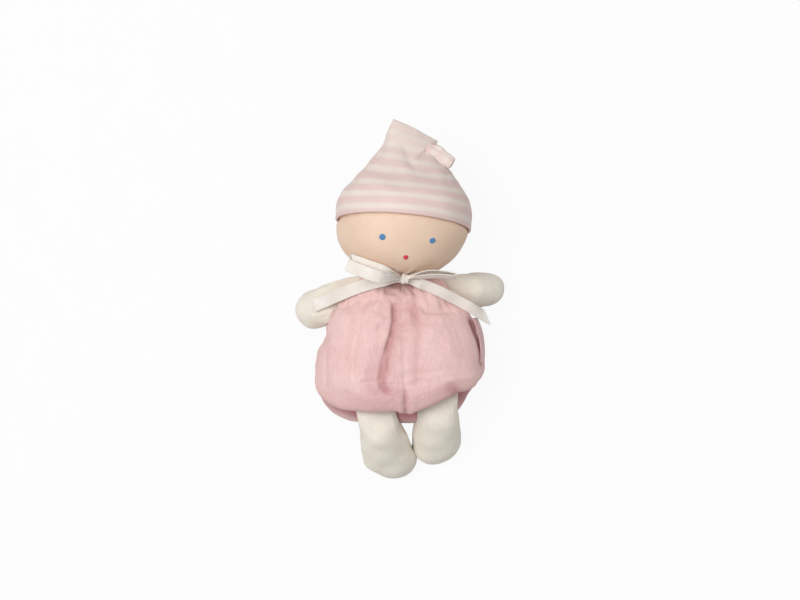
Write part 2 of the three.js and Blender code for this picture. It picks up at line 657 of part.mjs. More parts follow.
function heightUnder(x, y, surfaces) {
  const hit = new THREE.Raycaster(new THREE.Vector3(x, y, FAR), DOWN).intersectObjects(surfaces)[0];
  return hit ? hit.point.z : 0;
}

function knotPlace(surfaces) {
  const y = BODY_RISE - KNOT_SINK;
  let top = 0;
  for (const dx of [-0.5, 0, 0.5]) {
    for (const dy of [-0.5, 0, 0.5]) {
      top = Math.max(top, heightUnder(KNOT_X + dx * KNOT_LENGTH, y + dy * KNOT_HEIGHT, surfaces));
    }
  }
  return new THREE.Vector3(KNOT_X, y, top + GAP + KNOT_DEPTH / 2);
}

// Heights of a strip that leaves the knot: clear of the surfaces, and no steeper than its slopes.
function drape(start, along, across, length, slope, surfaces) {
  const step = length / RIBBON_STEPS;
  const stations = [{ reach: 0, under: start.z - RIBBON_CLEARANCE }];
  for (let reach = 0; reach <= length; reach += step / 4) {
    for (const side of [-1, -0.5, 0, 0.5, 1]) {
      const edge = across.clone().multiplyScalar((side * ribbonWidth(reach)) / 2);
      const p = start.clone().addScaledVector(along, reach).add(edge);
      stations.push({ reach, under: heightUnder(p.x, p.y, surfaces) - edge.z });
    }
  }
  const fallFrom = (s, reach) => (s.reach > reach ? CLIMB_SLOPE : slope)
    * Math.max(0, Math.abs(s.reach - reach) - step);
  const heights = [];
  for (let i = 0; i <= RIBBON_STEPS; i++) {
    heights.push(RIBBON_CLEARANCE + Math.max(...stations.map((s) => s.under - fallFrom(s, i * step))));
  }
  return heights;
}

// One flat strip through a row of places, each with its width and the direction that its width lies in.
function strip(places, thickness) {
  const rings = places.map((place, i) => {
    const before = places[Math.max(0, i - 1)].point;
    const after = places[Math.min(places.length - 1, i + 1)].point;
    const along = after.clone().sub(before).normalize();
    const across = place.across.clone().addScaledVector(along, -place.across.dot(along)).normalize();
    const out = new THREE.Vector3().crossVectors(along, across).multiplyScalar(thickness / 2);
    across.multiplyScalar(place.width / 2);
    const corner = (a, b) => place.point.clone().addScaledVector(across, a).addScaledVector(out, b);
    return [corner(1, 1), corner(-1, 1), corner(-1, -1), corner(1, -1)];
  });
  return loft(rings);
}

function ribbonTail(name, knot, angle, length, surfaces) {
  const turn = THREE.MathUtils.degToRad(angle);
  const along = new THREE.Vector3(Math.cos(turn), Math.sin(turn), 0);
  const across = new THREE.Vector3(-along.y, along.x, 0);
  const group = new THREE.Group();
  group.position.copy(knot).addScaledVector(along, KNOT_LENGTH / 2 + GAP);
  group.position.z -= KNOT_DEPTH / 4;
  group.userData.axis = new THREE.Vector3().crossVectors(along, UP);
  const heights = drape(group.position, along, across, length, TAIL_SLOPE, surfaces);
  const places = heights.map((height, i) => {
    const reach = (length * i) / RIBBON_STEPS;
    const point = along.clone().multiplyScalar(reach);
    point.z = height - group.position.z;
    const slanted = i === heights.length - 1 ? TAIL_SLANT / RIBBON_WIDTH : 0;
    return { point, across: across.clone().addScaledVector(along, slanted), width: ribbonWidth(reach) };
  });
  group.add(piece(name, strip(places, RIBBON_THICKNESS), SATIN));
  return group;
}

function ribbonLoop(name, knot, angle, length, roll, surfaces) {
  const turn = THREE.MathUtils.degToRad(angle);
  const along = new THREE.Vector3(Math.cos(turn), Math.sin(turn), 0);
  const tilt = THREE.MathUtils.degToRad(roll) * Math.sign(along.x);
  const level = new THREE.Vector3(-along.y, along.x, 0);
  const across = level.clone().multiplyScalar(Math.cos(tilt)).addScaledVector(UP, Math.sin(tilt));
  const open = new THREE.Vector3().crossVectors(along, across);
  if (open.z < 0) open.negate();
  const start = knot.clone().addScaledVector(along, KNOT_LENGTH / 2 + GAP);
  start.z += KNOT_DEPTH / 4;
  const heights = drape(start, along, across, length, LOOP_SLOPE, surfaces);
  const at = (i, apart) => {
    const reach = (length * i) / RIBBON_STEPS;
    const point = start.clone().addScaledVector(along, reach).addScaledVector(open, apart);
    point.z += heights[i] - start.z;
    return { point, across, width: ribbonWidth(reach) };
  };
  const spreadAt = (i) => LOOP_ROOT + LOOP_OPENING * Math.sin(Math.PI * (0.06 + 0.8 * (i / RIBBON_STEPS)));
  const places = [];
  for (let i = 0; i < RIBBON_STEPS; i++) places.push(at(i, 0));
  const end = at(RIBBON_STEPS, spreadAt(RIBBON_STEPS) / 2);
  places.push(end);
  for (let i = RIBBON_STEPS - 1; i >= 0; i--) places.push(at(i, spreadAt(i)));
  return piece(name, strip(places, RIBBON_THICKNESS), SATIN);
}

function neckRibbon() {
  let ring = headBall(NECK_CLEARANCE - GAP);
  for (let turn = -HEAD_TURN; turn <= HEAD_TURN; turn += SWING_STEP) {
    ring = ring.subtract(headBall(GAP).rotate([0, turn, 0]));
  }
  const tube = (radius) => solidOf(new THREE.CylinderGeometry(radius, radius, HEAD_HEIGHT, HEAD_AROUND)
    .translate(0, -HEAD_HEIGHT / 2, 0));
  const wall = tube(NECK_RIBBON_RADIUS + RIBBON_THICKNESS).subtract(tube(NECK_RIBBON_RADIUS));
  return piece('neck_ribbon', headInWorld(ring.intersect(wall)), SATIN);
}

function bowKnot(knot) {
  const ball = new THREE.SphereGeometry(0.5, 14, 10);
  const place = ball.getAttribute('position');
  for (let i = 0; i < place.count; i++) {
    const [x, y, z] = [place.getX(i), place.getY(i), place.getZ(i)].map((v) => power(v * 2, 0.7) / 2);
    place.setXYZ(i, x, y, z);
  }
  const mesh = piece('bow_knot', solidOf(ball.scale(KNOT_LENGTH, KNOT_HEIGHT, KNOT_DEPTH)), SATIN);
  mesh.position.copy(knot);
  return mesh;
}

// Side tag: a bare strip tacked to the front panel's side at both ends and bowed out between them
function sideTag(bodySkin) {
  const steps = 10;
  const inwards = new THREE.Vector3(-1, 0, 0);
  const sideAt = (y, z) => new THREE.Raycaster(new THREE.Vector3(FAR / 2, y, z), inwards)
    .intersectObjects(bodySkin)[0].point;
  const places = [];
  for (let i = 0; i <= steps; i++) {
    const share = i / steps;
    const y = TAG_MIDDLE_Y + TAG_LENGTH * (0.5 - share);
    const back = sideAt(y, SEAM_HEIGHT + TAG_RISE - TAG_WIDTH / 2);
    const front = sideAt(y, SEAM_HEIGHT + TAG_RISE + TAG_WIDTH / 2);
    const across = front.clone().sub(back).normalize();
    const out = new THREE.Vector3(across.z, 0, -across.x);
    const off = GAP + TAG_THICKNESS / 2 + TAG_BOW * Math.sin(Math.PI * share);
    const point = back.add(front).divideScalar(2).addScaledVector(out, off);
    places.push({ point, across, width: TAG_WIDTH });
  }
  return piece('side_tag', strip(places, TAG_THICKNESS), SATIN);
}

// The assembled doll
const doll = new THREE.Group();
const panels = bodyPanels();
doll.add(...panels, ...bodyStuffing(), rattlePieces(), head);
headPieces();
stitchedDot('left_eye', EYE_DIAMETER, EYE_SPACING / 2, EYE_DROP, BLUE_THREAD);
stitchedDot('right_eye', EYE_DIAMETER, -EYE_SPACING / 2, EYE_DROP, BLUE_THREAD);
stitchedDot('mouth', MOUTH_DIAMETER, 0, MOUTH_DROP, RED_THREAD);
head.add(piece('cap', cutFlat(capForm(0), head), STRIPED_JERSEY), knotTail);
capKnotTail();

const limbs = {
  left_arm: armSpec(1, LEFT_ARM_Y, LEFT_ARM_REACH, LEFT_ARM_ANGLE),
  right_arm: armSpec(-1, RIGHT_ARM_Y, RIGHT_ARM_REACH, RIGHT_ARM_ANGLE),
  left_leg: legSpec(LEFT_HIP_X, LEFT_FOOT_HALF, LEFT_LEG_REACH, LEFT_LEG_ANGLE, panels),
  right_leg: legSpec(RIGHT_HIP_X, RIGHT_FOOT_HALF, RIGHT_LEG_REACH, RIGHT_LEG_ANGLE, panels),
};
for (const [name, limb] of Object.entries(limbs)) {
  const group = limbGroup(name, limb);
  group.name = name;
  doll.add(group);
}

doll.updateMatrixWorld(true);
const surfaces = [];
doll.traverse((o) => {
  if (o.isMesh && /panel|skin$|^cap/.test(o.name)) surfaces.push(o);
});
const collar = neckRibbon();
surfaces.push(collar);
const knot = knotPlace(surfaces);
const tails = [
  ribbonTail('left_ribbon_tail', knot, LEFT_TAIL_ANGLE, LEFT_TAIL_LENGTH, surfaces),
  ribbonTail('right_ribbon_tail', knot, RIGHT_TAIL_ANGLE, RIGHT_TAIL_LENGTH, surfaces),
];
doll.add(
  collar,
  bowKnot(knot),
  ribbonLoop('left_bow_loop', knot, LEFT_LOOP_ANGLE, LEFT_LOOP_LENGTH, LEFT_LOOP_ROLL, surfaces),
  ribbonLoop('right_bow_loop', knot, RIGHT_LOOP_ANGLE, RIGHT_LOOP_LENGTH, RIGHT_LOOP_ROLL, surfaces),
  ...tails,
  sideTag(panels),
);

export default doll;
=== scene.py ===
import json
import math
from collections import namedtuple

import bpy
import numpy as np
from mathutils import Euler, Matrix, Vector
from mathutils.bvhtree import BVHTree


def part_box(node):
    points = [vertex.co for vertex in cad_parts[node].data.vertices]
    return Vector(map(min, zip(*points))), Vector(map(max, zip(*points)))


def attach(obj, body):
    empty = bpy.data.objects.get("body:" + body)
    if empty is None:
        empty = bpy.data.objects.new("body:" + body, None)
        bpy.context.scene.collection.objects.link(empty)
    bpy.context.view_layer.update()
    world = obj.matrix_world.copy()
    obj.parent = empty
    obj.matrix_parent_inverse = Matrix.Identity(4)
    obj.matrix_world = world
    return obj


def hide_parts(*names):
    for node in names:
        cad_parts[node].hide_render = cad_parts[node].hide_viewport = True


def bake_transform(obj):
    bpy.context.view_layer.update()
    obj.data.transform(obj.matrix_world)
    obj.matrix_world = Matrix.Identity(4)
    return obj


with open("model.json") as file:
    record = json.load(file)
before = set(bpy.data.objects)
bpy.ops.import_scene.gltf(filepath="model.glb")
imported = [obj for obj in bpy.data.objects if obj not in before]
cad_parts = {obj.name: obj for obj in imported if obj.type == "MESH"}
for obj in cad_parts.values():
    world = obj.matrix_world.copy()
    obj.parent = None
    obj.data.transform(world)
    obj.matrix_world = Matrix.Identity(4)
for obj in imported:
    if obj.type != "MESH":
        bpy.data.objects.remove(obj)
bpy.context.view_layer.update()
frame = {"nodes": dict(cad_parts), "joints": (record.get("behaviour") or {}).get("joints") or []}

MM = 0.001
UP = np.array([0.0, 0.0, 1.0])
WHITE = (1, 1, 1, 1)
FLOOR_ROUND = 1.6
JOINTS = {joint["name"]: joint for joint in frame["joints"]}

# Body: sizes of the plain form
BODY_WIDTH = 103
BODY_RISE = 58
BODY_FALL = 34.5
BODY_FRONT = 34
BODY_BACK = 28.5
UPPER_SQUARENESS = 2.1
LOWER_SQUARENESS = 2.5
RING_SQUARENESS = 2.33
SEAM_HEIGHT = 28
SEAM_BEND_Y = -8
SEAM_CLIMB = 0.62
SHOULDER_RISE = 5.0
SHOULDER_X = 21
SHOULDER_SPREAD = 11
LEFT_TUCK = 7
RIGHT_TUCK = 0.04
TAG_TUCK = 0.015
TUCK_Y = 21
TUCK_SPREAD = 10
LEVEL_SHARE = 0.985
BODY_LEVELS = 140
BODY_AROUND_FRONT = 236
BODY_AROUND_BACK = 88

# Lines on the front of the body, as (y, x) places from the bottom up
DEEP_FOLD = [(-23.3, -3.5), (-19, -8.6), (-14, -11.6), (-9, -12.6), (-3, -12.3), (6, -10.6), (15.3, -8.6),
             (21.5, -6.8), (30.6, -5.3), (41, -5.5)]
SOFT_FOLD = [(-10, 11.4), (3, 11.6), (15, 12.3), (29, 12.3), (38, 9.2)]
SIDE_FOLD = [(9.2, -29.1), (25.9, -25.8), (34.3, -25), (46.6, -19.1)]
CENTRE_SEAM = [(-27, 3.8), (40, 0.8)]
# How far the front's lower edge is drawn up, as (x, share of its depth)
HEM_LIFT = [(-45, 0.03), (-25, 0.2), (-7, 0.26), (-2, 0.28), (3.7, 0.16), (10.8, 0.27), (20.8, 0.43),
            (30.7, 0.6), (44, 0.43)]
HEM_ROLL = 2
HEM_ROLL_LIFTED = 6
HEM_BILLOW = 14
HEM_TUCK = 0.9
HEM_TUCK_LOW = 8.6
LEDGE_HEIGHT = 10
LEDGE_SLOPE = 3.0
LEDGE_FULLNESS = 0.2
LEDGE_END = -30
LEDGE_ROUND = 4.2
GATHER_COUNTS = (17, 23, 31, 41)
GATHER_DEPTH = 0.42

# Head
HEAD_MIDDLE = np.array([2.5, 93.0, 42.2])
HEAD_HALF = np.array([39.8, 35.0, 41.0])
HEAD_MATRIX = np.array(Euler((math.radians(4), 0, math.radians(-4.5))).to_matrix())
HEAD_STEPS = (0, -15, 15, -30, 30, -45, 45)
HEAD_ROWS = 96
HEAD_AROUND = 160
JOWL_SQUARENESS = 2.35
JAW_SHIFT = 2.0
STRAND_STEPS = 9
STRAND_AROUND = 8

# Cap, about the middle of the head: its sides as (x, y) places from the brim up, and its depth and tilt
CAP = 1.7
BRIM_TILT = 9.2
BRIM_DROP = 3.75
CAP_LEFT = [(-41.9, -3.6), (-41.7, 5), (-38.4, 14.3), (-32.7, 21.8), (-26.1, 29.5), (-19.8, 39.2),
            (-15.9, 46), (-11.7, 59)]
CAP_RIGHT = [(41.4, -4.2), (41.6, 4), (38.7, 13), (34.6, 20.2), (29.3, 27), (23.4, 34), (19.2, 40.5),
             (16.6, 47.4)]
CAP_DEPTH = [42.7, 42, 38.9, 33.8, 26.6, 18.5, 11, 3.4]
CAP_TILT = [1, 0.8, 0.5, 0.2, 0, 0, 0, 0]
CAP_SQUARENESS = 0.8
CAP_ROWS = 110
CAP_AROUND = 200
CAP_RADIUS = 42
FOLD_BOW = 0.9
FOLD_THICK = 1.1
KNOT_CREASE = (10.8, 42.4)
KNOT_CREASE_WAY = (0.78, 0.63)
STRIPE = 7.4
FIRST_STRIPE = 4.8
STRIPE_FADE = 60
# The knotted end: half its width and height along it, and its rolled-in tip as (share of them, length)
KNOT_END_START = np.array([-1.4, 1.7, -3.6])
KNOT_END_WIDTH = [2.6, 4.2, 4.7, 4.6, 4.4, 4.1]
KNOT_END_THICK = [1.6, 2.3, 2.8, 3.0, 2.9, 2.8]
KNOT_END_TIP = ((0.86, 0.35), (0.66, 0.1), (0.52, -0.9), (0.36, -0.7), (0.2, -1.4))
KNOT_END_ROWS = 40
KNOT_END_AROUND = 48

# Limbs: what the arms share and what the legs share
ARM = {"wedge": 14, "depth": 12, "end": 12, "edge": 1.7, "lean": 0, "crown": 1.15, "pucker": 0.15}
LEG = {"wedge": 16, "depth": 13.2, "end": 18, "edge": 3.2, "crown": 1, "pucker": 0.08, "inside": 14,
       "root_half": 11.8}
FLAT = 0.5
LIMB_ROWS = 76
LIMB_AROUND = 88

# Ribbon and tag
RIBBON_WIDTH = 7.5
RIBBON = 0.35
RIBBON_PINCH = 3.4
RIBBON_GATHER = 12
RIBBON_CLEARANCE = 0.7
KNOT = np.array([2.2, 56.0, 56.4])
KNOT_SIZE = np.array([7.0, 6.5, 5.0])
KNOT_SHAPE = 0.8
TAIL_POINTS = 72
TAIL_SLANT_REACH = 12
LOOP_POINTS = 40
TAG_POINTS = 44
TAG_SIDE = [46, 48.8, 50.2, 50.6, 50.2]
TAG_HEIGHT = 38.5
TAG_WIDTH = 6.4
TAG_LENGTH = 28
TAG_LEAN = np.array([0.42, 0, -0.91])

# Stage, with lengths in metres
AMBIENT = 0.43
MIDDLE = (0, 0.045, 0.03)
FLOOR_HALF = 6.0
FLOOR_Z = -0.0002
FLOOR_WHITENESS = 0.93
CAMERA_PLACE = (0, 0.0429, 1.6747)


# Small sums
def smooth(value, low, high):
    share = np.clip((value - low) / (high - low), 0, 1)
    return share * share * (3 - 2 * share)


def within(value, start, full, fade, end):
    """1 from full to fade, and 0 before the start and past the end."""
    return smooth(value, start, full) * (1 - smooth(value, fade, end))


def bell(value, middle, width):
    return np.exp(-(((value - middle) / width) ** 2))


def power(value, exponent):
    return np.sign(value) * np.abs(value) ** exponent


def unit(vectors):
    return vectors / np.maximum(np.linalg.norm(vectors, axis=-1, keepdims=True), 1e-9)


def full_turn(count):
    """Angles all the way round, in equal steps."""
    return np.arange(count) / count * 2 * math.pi


def flat_way(angle):
    """Level directions at an angle from the doll's left, and square to it."""
    turn = math.radians(angle)
    along = np.array([math.cos(turn), math.sin(turn), 0])
    return along, np.array([-along[1], along[0], 0])


def line_at(places, at):
    """The second number of a row of places, at a value of the first."""
    table = np.array(places, float)
    return np.interp(at, table[:, 0], table[:, 1])


def lengths_along(line):
    return np.append(0, np.cumsum(np.linalg.norm(np.diff(line, axis=0), axis=1)))


def cubic(a, b, c, d, t):
    """A smooth curve from b to c that minds a before them and d after."""
    bend = (2 * a - 5 * b + 4 * c - d) * t ** 2 + (3 * b - a - 3 * c + d) * t ** 3
    return 0.5 * (2 * b + (c - a) * t + bend)


def spline(knots, shares):
    """A smooth curve through a row of knots, at shares of the row from 0 to 1."""
    knots = np.array(knots, float)
    knots = knots.reshape(len(knots), -1)
    padded = np.vstack([2 * knots[0] - knots[1], knots, 2 * knots[-1] - knots[-2]])
    place = np.clip(np.asarray(shares, float), 0, 1) * (len(knots) - 1)
    first = np.minimum(place.astype(int), len(knots) - 2)
    near = [padded[first + i] for i in range(4)]
    return cubic(*near, (place - first)[:, None]).squeeze()


def between(table, places, closed):
    """A table read smoothly between its rows, at places counted in rows. A closed table goes round."""
    first = np.floor(places).astype(int)
    t = (places - first).reshape(-1, *[1] * (table.ndim - 1))
    count = len(table)
    rows = [first + i for i in (-1, 0, 1, 2)]
    near = [table[i % count if closed else np.clip(i, 0, count - 1)] for i in rows]
    return cubic(*near, t)


def running_mean(values, count):
    kernel = np.ones(2 * count + 1) / (2 * count + 1)
    return np.convolve(np.pad(values, count, mode="edge"), kernel, mode="valid")


def waves(points, length, seed, count=9):
    """Smooth noise of about that wavelength, mostly from -1 to 1."""
    rng = np.random.default_rng(seed)
    total = np.zeros(points.shape[:-1])
    for _ in range(count):
        direction = unit(rng.normal(size=3)) * 2 * math.pi / (length * rng.uniform(0.7, 1.5))
        total += np.sin(points @ direction + rng.uniform(0, 2 * math.pi))
    return total / math.sqrt(count)


# Meshes: a grid of rings, closed round each ring, with a point at either end
def band_faces(rings, around, closed):
    """Four-sided faces between rings of points; a closed band joins its last ring to its first."""
    ring, step = np.meshgrid(np.arange(rings if closed else rings - 1), np.arange(around), indexing="ij")
    after, beyond = (step + 1) % around, (ring + 1) % rings
    near, far = ring * around, beyond * around
    return np.stack([near + step, near + after, far + after, far + step], -1).reshape(-1, 4)


def tube_faces(rings, around):
    start, end, last = rings * around, rings * around + 1, (rings - 1) * around
    i = np.arange(around)
    j = (i + 1) % around
    first = np.stack([j, i, np.full(around, start), np.full(around, start)], -1)
    final = np.stack([last + i, last + j, np.full(around, end), np.full(around, end)], -1)
    return np.vstack([band_faces(rings, around, False), first, final])


def with_ends(grid):
    points = grid.reshape(-1, 3)
    return np.vstack([points, grid[0].mean(0), grid[-1].mean(0)])


def end_values(values):
    """A grid of values as a row, with one more for the point at either end."""
    return np.append(values.ravel(), [values[0].mean(), values[-1].mean()])


def cloth(grid, across, along):
    """Lengths across and along the cloth at a grid's points, as a mesh's attributes for its material."""
    across, along = (np.broadcast_to(values, grid.shape[:2]) for values in (across, along))
    return {"cloth_across": end_values(across) * MM, "cloth_along": end_values(along) * MM}


def normals(points, faces):
    a, b, c, d = (points[faces[:, i]] for i in range(4))
    across = np.cross(c - a, d - b)
    total = np.zeros_like(points)
    for i in range(4):
        np.add.at(total, faces[:, i], across)
    return unit(total)


def pushed(grid, faces, push):
    """A grid moved out along its normals."""
    outer = normals(with_ends(grid), faces)[:-2].reshape(grid.shape)
    return grid + outer * push[..., None]


def volume(points, faces):
    a, b, c, d = (points[faces[:, i]] for i in range(4))
    halves = np.einsum("ij,ij->i", a, np.cross(b, c)) + np.einsum("ij,ij->i", a, np.cross(c, d))
    return float(halves.sum() / 6)


def outward(points, faces):
    return faces if volume(points, faces) > 0 else faces[:, ::-1]


def grid_faces(grid):
    """A grid's faces, all facing out."""
    return outward(with_ends(grid), tube_faces(*grid.shape[:2]))


def corners(face):
    """A face's corners, with a repeated corner left out."""
    kept = []
    for corner in face:
        if corner not in kept:
            kept.append(int(corner))
    return kept


def placed(name, data):
    """A new object in the scene."""
    made = bpy.data.objects.new(name, data)
    bpy.context.scene.collection.objects.link(made)
    return made


def mesh_piece(name, points, faces, material_used, **values):
    """A smooth mesh object, with any values given for each point kept as attributes."""
    mesh = bpy.data.meshes.new(name)
    mesh.from_pydata((np.asarray(points) * MM).tolist(), [], [corners(f) for f in faces.tolist()])
    mesh.polygons.foreach_set("use_smooth", np.ones(len(mesh.polygons), bool))
    for key, value in values.items():
        attribute = mesh.attributes.new(key, "FLOAT", "POINT")
        attribute.data.foreach_set("value", np.asarray(value, np.float32).ravel())
    mesh.materials.append(material_used)
    mesh.update()
    return placed(name, mesh)


def dress(piece, slot, *nodes):
    """Hides the CAD nodes that a piece stands for. What it is made of, the slot, is not used."""
    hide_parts(*nodes)


def bend_between(piece):
    """Bakes a piece's place into its mesh."""
    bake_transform(piece)


def tree_of(points, faces):
    return BVHTree.FromPolygons([Vector(p) for p in points], [corners(f) for f in faces.tolist()])


def box_of(node_name):
    return [np.array(corner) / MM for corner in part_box(node_name)]


def pivot_of(joint_name):
    return np.array(JOINTS[joint_name]["pos_m"]) / MM


# Stuffing: cloth with pressure inside, on a coarse grid, and the push that it gives to a fine grid
SIM_SCALE = 4.0
SIM_FRAMES = 16


def add_cloth(run, pressure, slack):
    modifier = run.modifiers.new("cloth", "CLOTH")
    settings = modifier.settings
    settings.quality = 6
    settings.mass = 0.25
    settings.tension_stiffness = 20
    settings.compression_stiffness = 12
    settings.bending_stiffness = 0.4
    settings.vertex_group_mass = "pinned"
    settings.use_pressure = True
    settings.uniform_pressure_force = pressure
    settings.shrink_min = -slack
    settings.effector_weights.gravity = 0
    modifier.point_cache.frame_start = 1
    modifier.point_cache.frame_end = SIM_FRAMES


def stuffed(points, faces, pinned, pressure, limit, slack):
    """How far each point moves when the form is filled, never more than the limit."""
    faces = outward(points, faces)
    mesh = bpy.data.meshes.new("stuffing_run")
    mesh.from_pydata((points * MM * SIM_SCALE).tolist(), [], [corners(f) for f in faces.tolist()])
    run = placed("stuffing_run", mesh)
    group = run.vertex_groups.new(name="pinned")
    for index, weight in enumerate(pinned):
        group.add([index], float(weight), "REPLACE")
    add_cloth(run, pressure, slack)
    for number in range(1, SIM_FRAMES + 1):
        bpy.context.scene.frame_set(number)
    evaluated = run.evaluated_get(bpy.context.evaluated_depsgraph_get())
    found = np.zeros(len(points) * 3, np.float32)
    evaluated.data.vertices.foreach_get("co", found)
    push = found.reshape(-1, 3).astype(float) / (MM * SIM_SCALE) - points
    bpy.data.objects.remove(run)
    bpy.data.meshes.remove(mesh)
    bpy.context.scene.frame_set(1)
    size = np.linalg.norm(push, axis=1, keepdims=True)
    return push * np.minimum(1, limit / np.maximum(size, 1e-9))


def stuffing_push(form, fine_rows, fine_around, pins, coarse, pressure, limit, slack=0.02):
    """The push of the stuffing on a fine grid of a form, which gives a grid of points for its two shares."""
    rows, around = coarse
    grid = form(np.linspace(0, 1, rows), np.arange(around) / around)
    pinned = np.append(pins(grid).ravel(), [1, 1])
    push = stuffed(with_ends(grid), tube_faces(rows, around), pinned, pressure, limit, slack)
    rings = between(push[:-2].reshape(rows, around, 3), fine_rows * (rows - 1), False)
    return between(rings.swapaxes(0, 1), fine_around * around, True).swapaxes(0, 1)


# Keeping pieces apart
def head_turned(points, degrees):
    """Points carried round the neck with the head."""
    pivot = pivot_of("head_turn")
    axis = Vector(JOINTS["head_turn"]["axis"])
    turn = np.array(Matrix.Rotation(math.radians(degrees), 3, axis))
    return pivot + (points - pivot) @ turn.T


def out_of_head(points, grow):
    """Points inside the head at any of its turns, moved out to its surface."""
    for degrees in HEAD_STEPS:
        local = (head_turned(points, -degrees) - HEAD_MIDDLE) @ HEAD_MATRIX
        local = local + [JAW_SHIFT, 0, 0] * smooth(-local[..., 1:2], 0, 20)
        share = local / (HEAD_HALF + grow)
        ring = np.hypot(share[..., 0], share[..., 2])
        square = np.where(local[..., 1] < 0, JOWL_SQUARENESS, 2)
        reach = (ring ** square + np.abs(share[..., 1]) ** square) ** (1 / square)
        out = local / np.clip(reach, 1e-3, 1)[..., None] - local
        points = points + head_turned(out @ HEAD_MATRIX.T, degrees) - head_turned(0 * out, degrees)
    return points


def on_floor(points, height=0.0):
    """Points below a height, pressed flat with a rounded edge."""
    over = points[..., 2] - height
    pressed = FLOOR_ROUND * np.exp(np.minimum(over, FLOOR_ROUND) / FLOOR_ROUND - 1)
    points[..., 2] = height + np.where(over < FLOOR_ROUND, pressed, over)
    return points


def kept_clear(points, tree, gap, weights, lowest=-2.0, farthest=9):
    """Points moved out of a surface, by their weight, except where it faces further down than lowest."""
    moved = points.copy()
    for i in np.flatnonzero(weights > 0):
        place, normal, _, _ = tree.find_nearest(Vector(points[i]))
        off = Vector(points[i]) - place
        depth = gap - off.dot(normal)
        if 0 < depth and off.length < farthest and normal[2] > lowest:
            moved[i] += np.array(normal) * depth * weights[i]
    return moved


# Materials
def link(tree, value, socket):
    if isinstance(value, bpy.types.NodeSocket):
        tree.links.new(value, socket)
    else:
        socket.default_value = value


def put(tree, made, **inputs):
    for key, value in inputs.items():
        link(tree, value, made.inputs[key.replace("_", " ")])


def node(tree, kind, props=None, **inputs):
    made = tree.nodes.new(kind)
    for key, value in (props or {}).items():
        setattr(made, key, value)
    put(tree, made, **inputs)
    return made


def colour(text):
    """A written sRGB colour as a linear one."""
    parts = [int(text[i:i + 2], 16) / 255 for i in (0, 2, 4)]
    return (*[c / 12.92 if c <= 0.04045 else ((c + 0.055) / 1.055) ** 2.4 for c in parts], 1)


def ramp(tree, factor, *stops):
    made = node(tree, "ShaderNodeValToRGB", Fac=factor)
    elements = made.color_ramp.elements
    for element, (place, value) in zip(elements, stops):
        element.position = place
        element.color = value if isinstance(value, tuple) else (value, value, value, 1)
    return made.outputs["Color"]


def two_tone(tree, factor, dark, light):
    return ramp(tree, factor, (0.3, colour(dark)), (0.7, colour(light)))


def math_node(tree, operation, *values):
    made = node(tree, "ShaderNodeMath", {"operation": operation})
    for value, socket in zip(values, made.inputs):
        link(tree, value, socket)
    return made.outputs[0]


def times(tree, first, second):
    return math_node(tree, "MULTIPLY", first, second)


def plus(tree, first, second):
    return math_node(tree, "ADD", first, second)


def sine(tree, value, wavelength):
    return math_node(tree, "SINE", times(tree, value, 2 * math.pi / wavelength))


def mixed(tree, factor, first, second, kind="MIX"):
    made = node(tree, "ShaderNodeMixRGB", {"blend_type": kind}, Fac=factor, Color1=first, Color2=second)
    return made.outputs["Color"]


def shaded(tree, share, base, factor, *stops):
    """A colour darkened by a ramp of a factor, as far as the share says."""
    return mixed(tree, share, base, ramp(tree, factor, *stops), "MULTIPLY")


def noise_of(tree, vector, scale, detail=3.0, rough=0.5):
    made = node(tree, "ShaderNodeTexNoise", Vector=vector, Scale=scale, Detail=detail, Roughness=rough)
    return made.outputs[0]


def stretched(tree, vector, scale):
    return node(tree, "ShaderNodeMapping", Vector=vector, Scale=scale).outputs[0]


def bumped(tree, height, distance, strength, before=None):
    made = node(tree, "ShaderNodeBump", Height=height, Distance=distance, Strength=strength)
    if before is not None:
        link(tree, before, made.inputs["Normal"])
    return made.outputs[0]


def own(tree, name):
    """A mesh's own values for each point."""
    return node(tree, "ShaderNodeAttribute", {"attribute_name": name}).outputs["Fac"]


def material(name):
    made = bpy.data.materials.new(name)
    made.use_nodes = True
    tree = made.node_tree
    place = node(tree, "ShaderNodeTexCoord").outputs["Object"]
    return made, tree, tree.nodes["Principled BSDF"], place


def velour(name, dark, light, shade, nap, deep):
    """A short-pile knit: patches of differing nap, fine ribs, a sheen, and painted shade that turns it to a
    deeper colour where its mesh says.
    """
    made, tree, shader, place = material(name)
    patches = noise_of(tree, place, scale=55, detail=4, rough=0.6)
    base = two_tone(tree, patches, dark, light)
    # Painted shade: the colour goes towards the deep colour as far as the mesh's painted-shade attribute says
    base = mixed(tree, own(tree, "cloth_depth"), base, colour(deep))
    ribs = noise_of(tree, stretched(tree, place, nap), scale=1, rough=0.6)
    base = shaded(tree, 0.3, base, ribs, (0.3, colour(shade)), (0.65, WHITE))
    pile = noise_of(tree, place, scale=2600, detail=2, rough=0.7)
    base = shaded(tree, 0.2, base, pile, (0.25, 0.75), (0.7, 1.0))
    normal = bumped(tree, ribs, distance=0.0003, strength=0.18)
    normal = bumped(tree, pile, distance=0.0003, strength=0.4, before=normal)
    put(tree, shader, Base_Color=base, Normal=normal, Roughness=ramp(tree, patches, (0.2, 0.82), (0.8, 0.98)),
        Sheen_Weight=0.22, Sheen_Roughness=0.4, Sheen_Tint=(1, 0.93, 0.91, 1), Specular_IOR_Level=0.12)
    return made


def knit_height(tree, across, along, size):
    """The height of rows of small knitted loops, for lengths across and along the cloth."""
    columns = math_node(tree, "ABSOLUTE", sine(tree, across, wavelength=2 * size))
    rows = plus(tree, along, times(tree, columns, size * 0.5))
    loops = sine(tree, rows, wavelength=size * 0.8)
    return plus(tree, columns, times(tree, loops, 0.35))


def half_wave(tree, wave):
    """A wave from -1 to 1, as one from 0 to 1."""
    return plus(tree, times(tree, wave, 0.5), 0.5)


